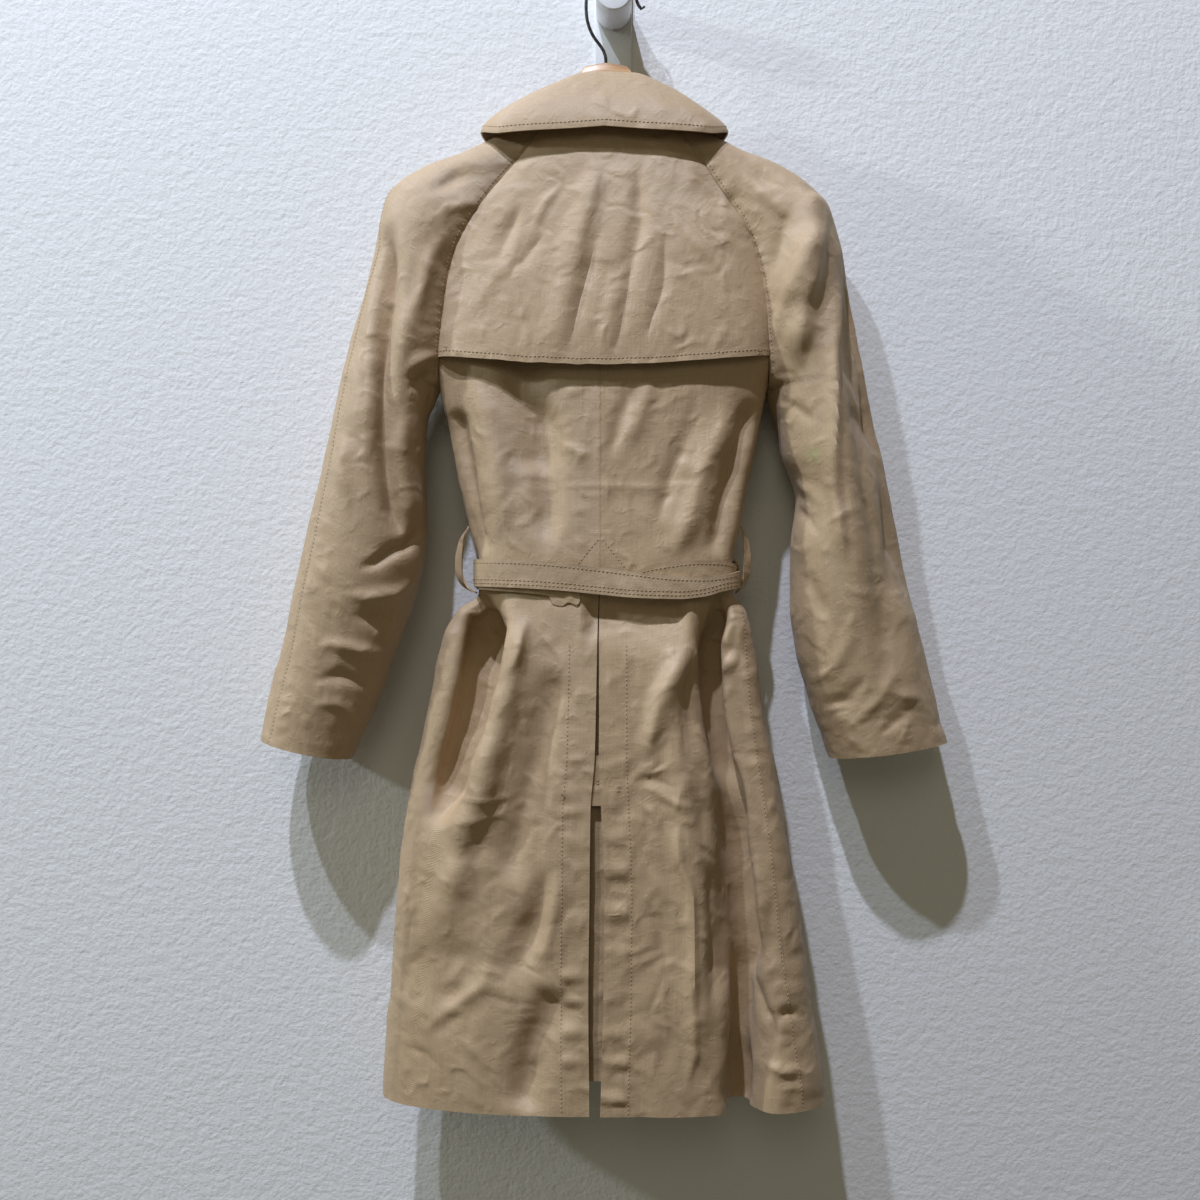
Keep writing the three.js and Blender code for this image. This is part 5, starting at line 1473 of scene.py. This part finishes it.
gabardine = cloth_finish("gabardine", (0.340, 0.234, 0.132), (0.485, 0.345, 0.206), 0.54, 0.024)
for piece in pieces.values():
    piece.data.materials.append(gabardine)
thread_look, tree, shader = new_material("thread", (0.50, 0.375, 0.235), 0.55)
grain = noise_at(tree, object_place(tree), 900.0, 2.0)
tree.links.new(ramp_from(tree, grain, (0.24, 0.16, 0.085), (0.46, 0.34, 0.21)), shader.inputs["Base Color"])
topstitching.data.materials.append(thread_look)
print("gabardine on", len(pieces), "pieces")

# %% [markdown]
# ## The hanger
# The hanger is a bent piece of solid wood with a steel wire hook. Its solid has the right outline but sharp
# edges, while a real one is sanded round. So a copy of it is merged, and a Bevel modifier rounds the edges. The
# wire is shown by its own solid.

# %% The hanger's wood
LYING = (math.radians(90), 0, 0)


def rounded(piece, width, segments=3):
    """Rounds a piece's sharp edges."""
    picked(piece)
    bevel = piece.modifiers.new("round", "BEVEL")
    bevel.width, bevel.segments = width, segments
    bevel.limit_method, bevel.angle_limit = "ANGLE", math.radians(35)
    bpy.ops.object.modifier_apply(modifier=bevel.name)
    bpy.ops.object.shade_smooth_by_angle(angle=math.radians(40))


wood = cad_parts["hanger_wood"].copy()
wood.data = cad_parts["hanger_wood"].data.copy()
wood.name = "hanger_arms"
bpy.context.scene.collection.objects.link(wood)
picked(wood)
bpy.ops.object.mode_set(mode="EDIT")
bpy.ops.mesh.select_all(action="SELECT")
bpy.ops.mesh.remove_doubles(threshold=0.00005)
bpy.ops.mesh.dissolve_limited(angle_limit=math.radians(2))
bpy.ops.object.mode_set(mode="OBJECT")
rounded(wood, 0.0032)
print("hanger faces:", len(wood.data.polygons))

# %% [markdown]
# ## The wall hook
# The hanger hangs on a turned peg, which stands on a flat strip of powder-coated steel. The peg is a cylinder
# whose front is inset and pressed in a little, with a rounded rim, and the strip is a bar with rounded edges.

# %% The peg and its strip
def centre_of(box):
    """A box's middle and its size."""
    low, high = box
    return [(a + b) / 2 for a, b in zip(low, high)], [b - a for a, b in zip(low, high)]


middle, size = centre_of(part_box("wall_peg"))
def disc(middle, size, vertices, faces_room, rim, step, dish):
    """A cylinder that lies along y, with its end face inset by a rim and then pressed in."""
    bpy.ops.mesh.primitive_cylinder_add(vertices=vertices, radius=size[0] / 2, depth=size[1], location=middle,
                                        rotation=LYING)
    turned = bpy.context.object
    bpy.ops.object.transform_apply(location=True, rotation=True, scale=True)
    hand = -1 if faces_room else 1
    turned.data.polygons.foreach_set("select", [hand * poly.normal.y > 0.9 for poly in turned.data.polygons])
    bpy.ops.object.mode_set(mode="EDIT")
    bpy.ops.mesh.select_mode(type="FACE")
    bpy.ops.mesh.inset(thickness=rim, depth=0.0)
    bpy.ops.mesh.inset(thickness=step, depth=-dish)
    bpy.ops.object.mode_set(mode="OBJECT")
    return turned


peg = disc(*centre_of(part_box("wall_peg")), 72, True, rim=0.004, step=0.001, dish=0.0006)
peg.name = "peg"
rounded(peg, 0.0016, 4)

middle, size = centre_of(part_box("wall_plate"))
bpy.ops.mesh.primitive_cube_add(size=1, location=middle, scale=size)
strip = bpy.context.object
strip.name = "strip"
bpy.ops.object.transform_apply(location=True, rotation=True, scale=True)
rounded(strip, 0.0012)
print("peg faces:", len(peg.data.polygons), "strip faces:", len(strip.data.polygons))

# %% [markdown]
# ## The buttons
# Each button is a dished disc with a raised rim and four drilled holes. They close the hidden front, and no thread
# is drawn through them. One is modelled and then copied to each place, and each copy has its own mesh.

# %% One button and its copies
HOLE_OFF, HOLE_RADIUS, DRILL = 0.0021, 0.0009, 0.02
BUTTONS = 5
first_middle, first_size = centre_of(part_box("button_1"))
button = disc(first_middle, first_size, 40, False, rim=0.0024, step=0.0012, dish=0.0009)
rounded(button, 0.0004, 2)
for across in (-1, 1):
    for up in (-1, 1):
        spot = (first_middle[0] + across * HOLE_OFF, first_middle[1], first_middle[2] + up * HOLE_OFF)
        bpy.ops.mesh.primitive_cylinder_add(vertices=12, radius=HOLE_RADIUS, depth=DRILL, location=spot,
                                            rotation=LYING)
        drill = bpy.context.object
        picked(button)
        hole = button.modifiers.new("hole", "BOOLEAN")
        hole.object, hole.operation, hole.solver = drill, "DIFFERENCE", "EXACT"
        bpy.ops.object.modifier_apply(modifier=hole.name)
        bpy.data.objects.remove(drill)
hard = {"hanger_wood": wood, "wall_peg": peg, "wall_plate": strip}
for number in range(1, BUTTONS + 1):
    node_name = f"button_{number}"
    target, _ = centre_of(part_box(node_name))
    shift = Vector(target) - Vector(first_middle)
    copy = button.copy()
    copy.data = button.data.copy()
    copy.name = f"front_{node_name}"
    bpy.context.scene.collection.objects.link(copy)
    copy.data.transform(Matrix.Translation(shift))
    hard[node_name] = copy
bpy.data.objects.remove(button)
print("buttons:", BUTTONS)

# %% [markdown]
# ### Wood, wire, paint and horn
# The wood has a long grain under varnish, so its rings are a stretched noise that feeds a ramp, and the varnish
# is the shader's coat. The wire is dark steel with small worn spots. The powder coat has a fine peel. The
# buttons are spotted like horn.

# %% Wood
wood_look, tree, shader = new_material("varnished_wood", (0.5, 0.3, 0.15), 0.42)
long_grain = add_node(tree, "ShaderNodeMapping", {"Vector": object_place(tree), "Scale": (14, 160, 160)})
grain = noise_at(tree, long_grain.outputs[0], 1.0, 5.0, {"Distortion": 0.8})
rings = ramp_from(tree, grain, (0.30, 0.15, 0.062), (0.56, 0.34, 0.165), (0.32, 0.68))
raise_and_paint(tree, shader, grain, 0.25, 0.0006, rings)
shader.inputs["Coat Weight"].default_value = 0.35
shader.inputs["Coat Roughness"].default_value = 0.18

# %% Wire, paint and horn
def speckled(name, low, high, rough, scale, metallic=0.0):
    """A finish whose colour and height vary with a fine noise."""
    material, tree, shader = new_material(name, high, rough, metallic)
    spots = noise_at(tree, object_place(tree), scale, 3.0)
    raise_and_paint(tree, shader, spots, 0.4, 0.0003, ramp_from(tree, spots, low, high, (0.35, 0.65)))
    return material


wire_look = speckled("dark_steel_wire", (0.035, 0.032, 0.030), (0.11, 0.105, 0.10), 0.38, 260.0, 0.85)
coat_look = speckled("white_powder_coat", (0.66, 0.67, 0.69), (0.72, 0.73, 0.75), 0.42, 900.0)
horn_look = speckled("brown_horn", (0.045, 0.022, 0.010), (0.13, 0.068, 0.030), 0.28, 180.0)
LOOKS = {"hanger_wood": wood_look, "hanger_hook": wire_look, "wall_plate": coat_look, "wall_peg": coat_look}
for name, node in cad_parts.items():
    look = LOOKS.get(name, horn_look if name.startswith("button") else gabardine)
    node.data.materials.clear()
    node.data.materials.append(look)
for name, piece in hard.items():
    piece.data.materials.clear()
    piece.data.materials.append(LOOKS.get(name, horn_look))
print("finishes:", len(bpy.data.materials))

# %% [markdown]
# ## The wall and the light
# The coat hangs in front of a pale wall with a rough peel. Two small lamps high up on the left throw its shadows
# on the wall. A broad weak one in front and a far one on the left fill them.

# %% Wall
wall_paint, tree, shader = new_material("wall_paint", (0.755, 0.755, 0.752), 0.85)
place = object_place(tree)
peel = noise_at(tree, place, 240.0, 3.0, {"Roughness": 0.6})
blots = noise_at(tree, place, 95.0, 1.0)
raise_and_paint(tree, shader, sum_up(tree, (peel, 1.0), (blots, 1.0)), 0.5, 0.0015)
# From behind, the wall lets the coat's front be seen.
facing = add_node(tree, "ShaderNodeNewGeometry")
clear = add_node(tree, "ShaderNodeBsdfTransparent")
one_way = add_node(tree, "ShaderNodeMixShader",
                   {0: facing.outputs["Backfacing"], 1: shader.outputs[0], 2: clear.outputs[0]})
tree.links.new(one_way.outputs[0], tree.nodes["Material Output"].inputs["Surface"])

BEHIND_PLATE = 0.0005
bpy.ops.mesh.primitive_plane_add(size=6, location=(0, BEHIND_PLATE, -0.6), rotation=LYING)
wall = bpy.context.object
wall.name = "wall"
wall.data.materials.append(wall_paint)
print("wall stands at y =", wall.location.y)


# %% Lamps
def lamp(name, place, size, power, colour, target=(0, -0.06, -0.6)):
    """A round lamp that points at the coat's middle."""
    data = bpy.data.lights.new(name, "AREA")
    data.shape = "DISK"
    data.size = size
    data.energy = power
    data.color = colour
    light = linked(name, data)
    light.location = place
    light.rotation_euler = (Vector(target) - Vector(place)).to_track_quat("-Z", "Y").to_euler()


lamp("high_spot", (-0.77, -1.76, 3.14), 0.10, 156, (0.76, 0.81, 1.0))
lamp("left_spot", (-1.6, -1.76, 2.97), 0.10, 92, (0.74, 0.85, 1.0))
lamp("room_lamp", (-0.3, -3.0, 0.9), 1.4, 7, (1.0, 0.94, 0.72))
lamp("far_left", (-5.0, -1.2, 1.4), 0.3, 120, (0.86, 0.96, 0.96))
world = bpy.data.worlds.new("room")
world.use_nodes = True
world.node_tree.nodes["Background"].inputs["Color"].default_value = (1.0, 0.92, 0.66, 1)
world.node_tree.nodes["Background"].inputs["Strength"].default_value = 0.13
bpy.context.scene.world = world
bpy.context.scene.view_settings.view_transform = "Standard"

# %% [markdown]
# ## Which piece stands for which solid
# Each sheet hides the solid that it replaces and rides on the body. The hard pieces and the
# stitches ride on the same body.

# %% Hiding the solids and riding on the body
# A sheet's stated width can't be under 10 mm, and the loops are 8 mm wide.
for name, piece in pieces.items():
    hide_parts(name)
    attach(piece, "root")
    flat, area = cuts[name]
for name, piece in hard.items():
    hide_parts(name)
    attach(piece, "root")
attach(topstitching, "root")
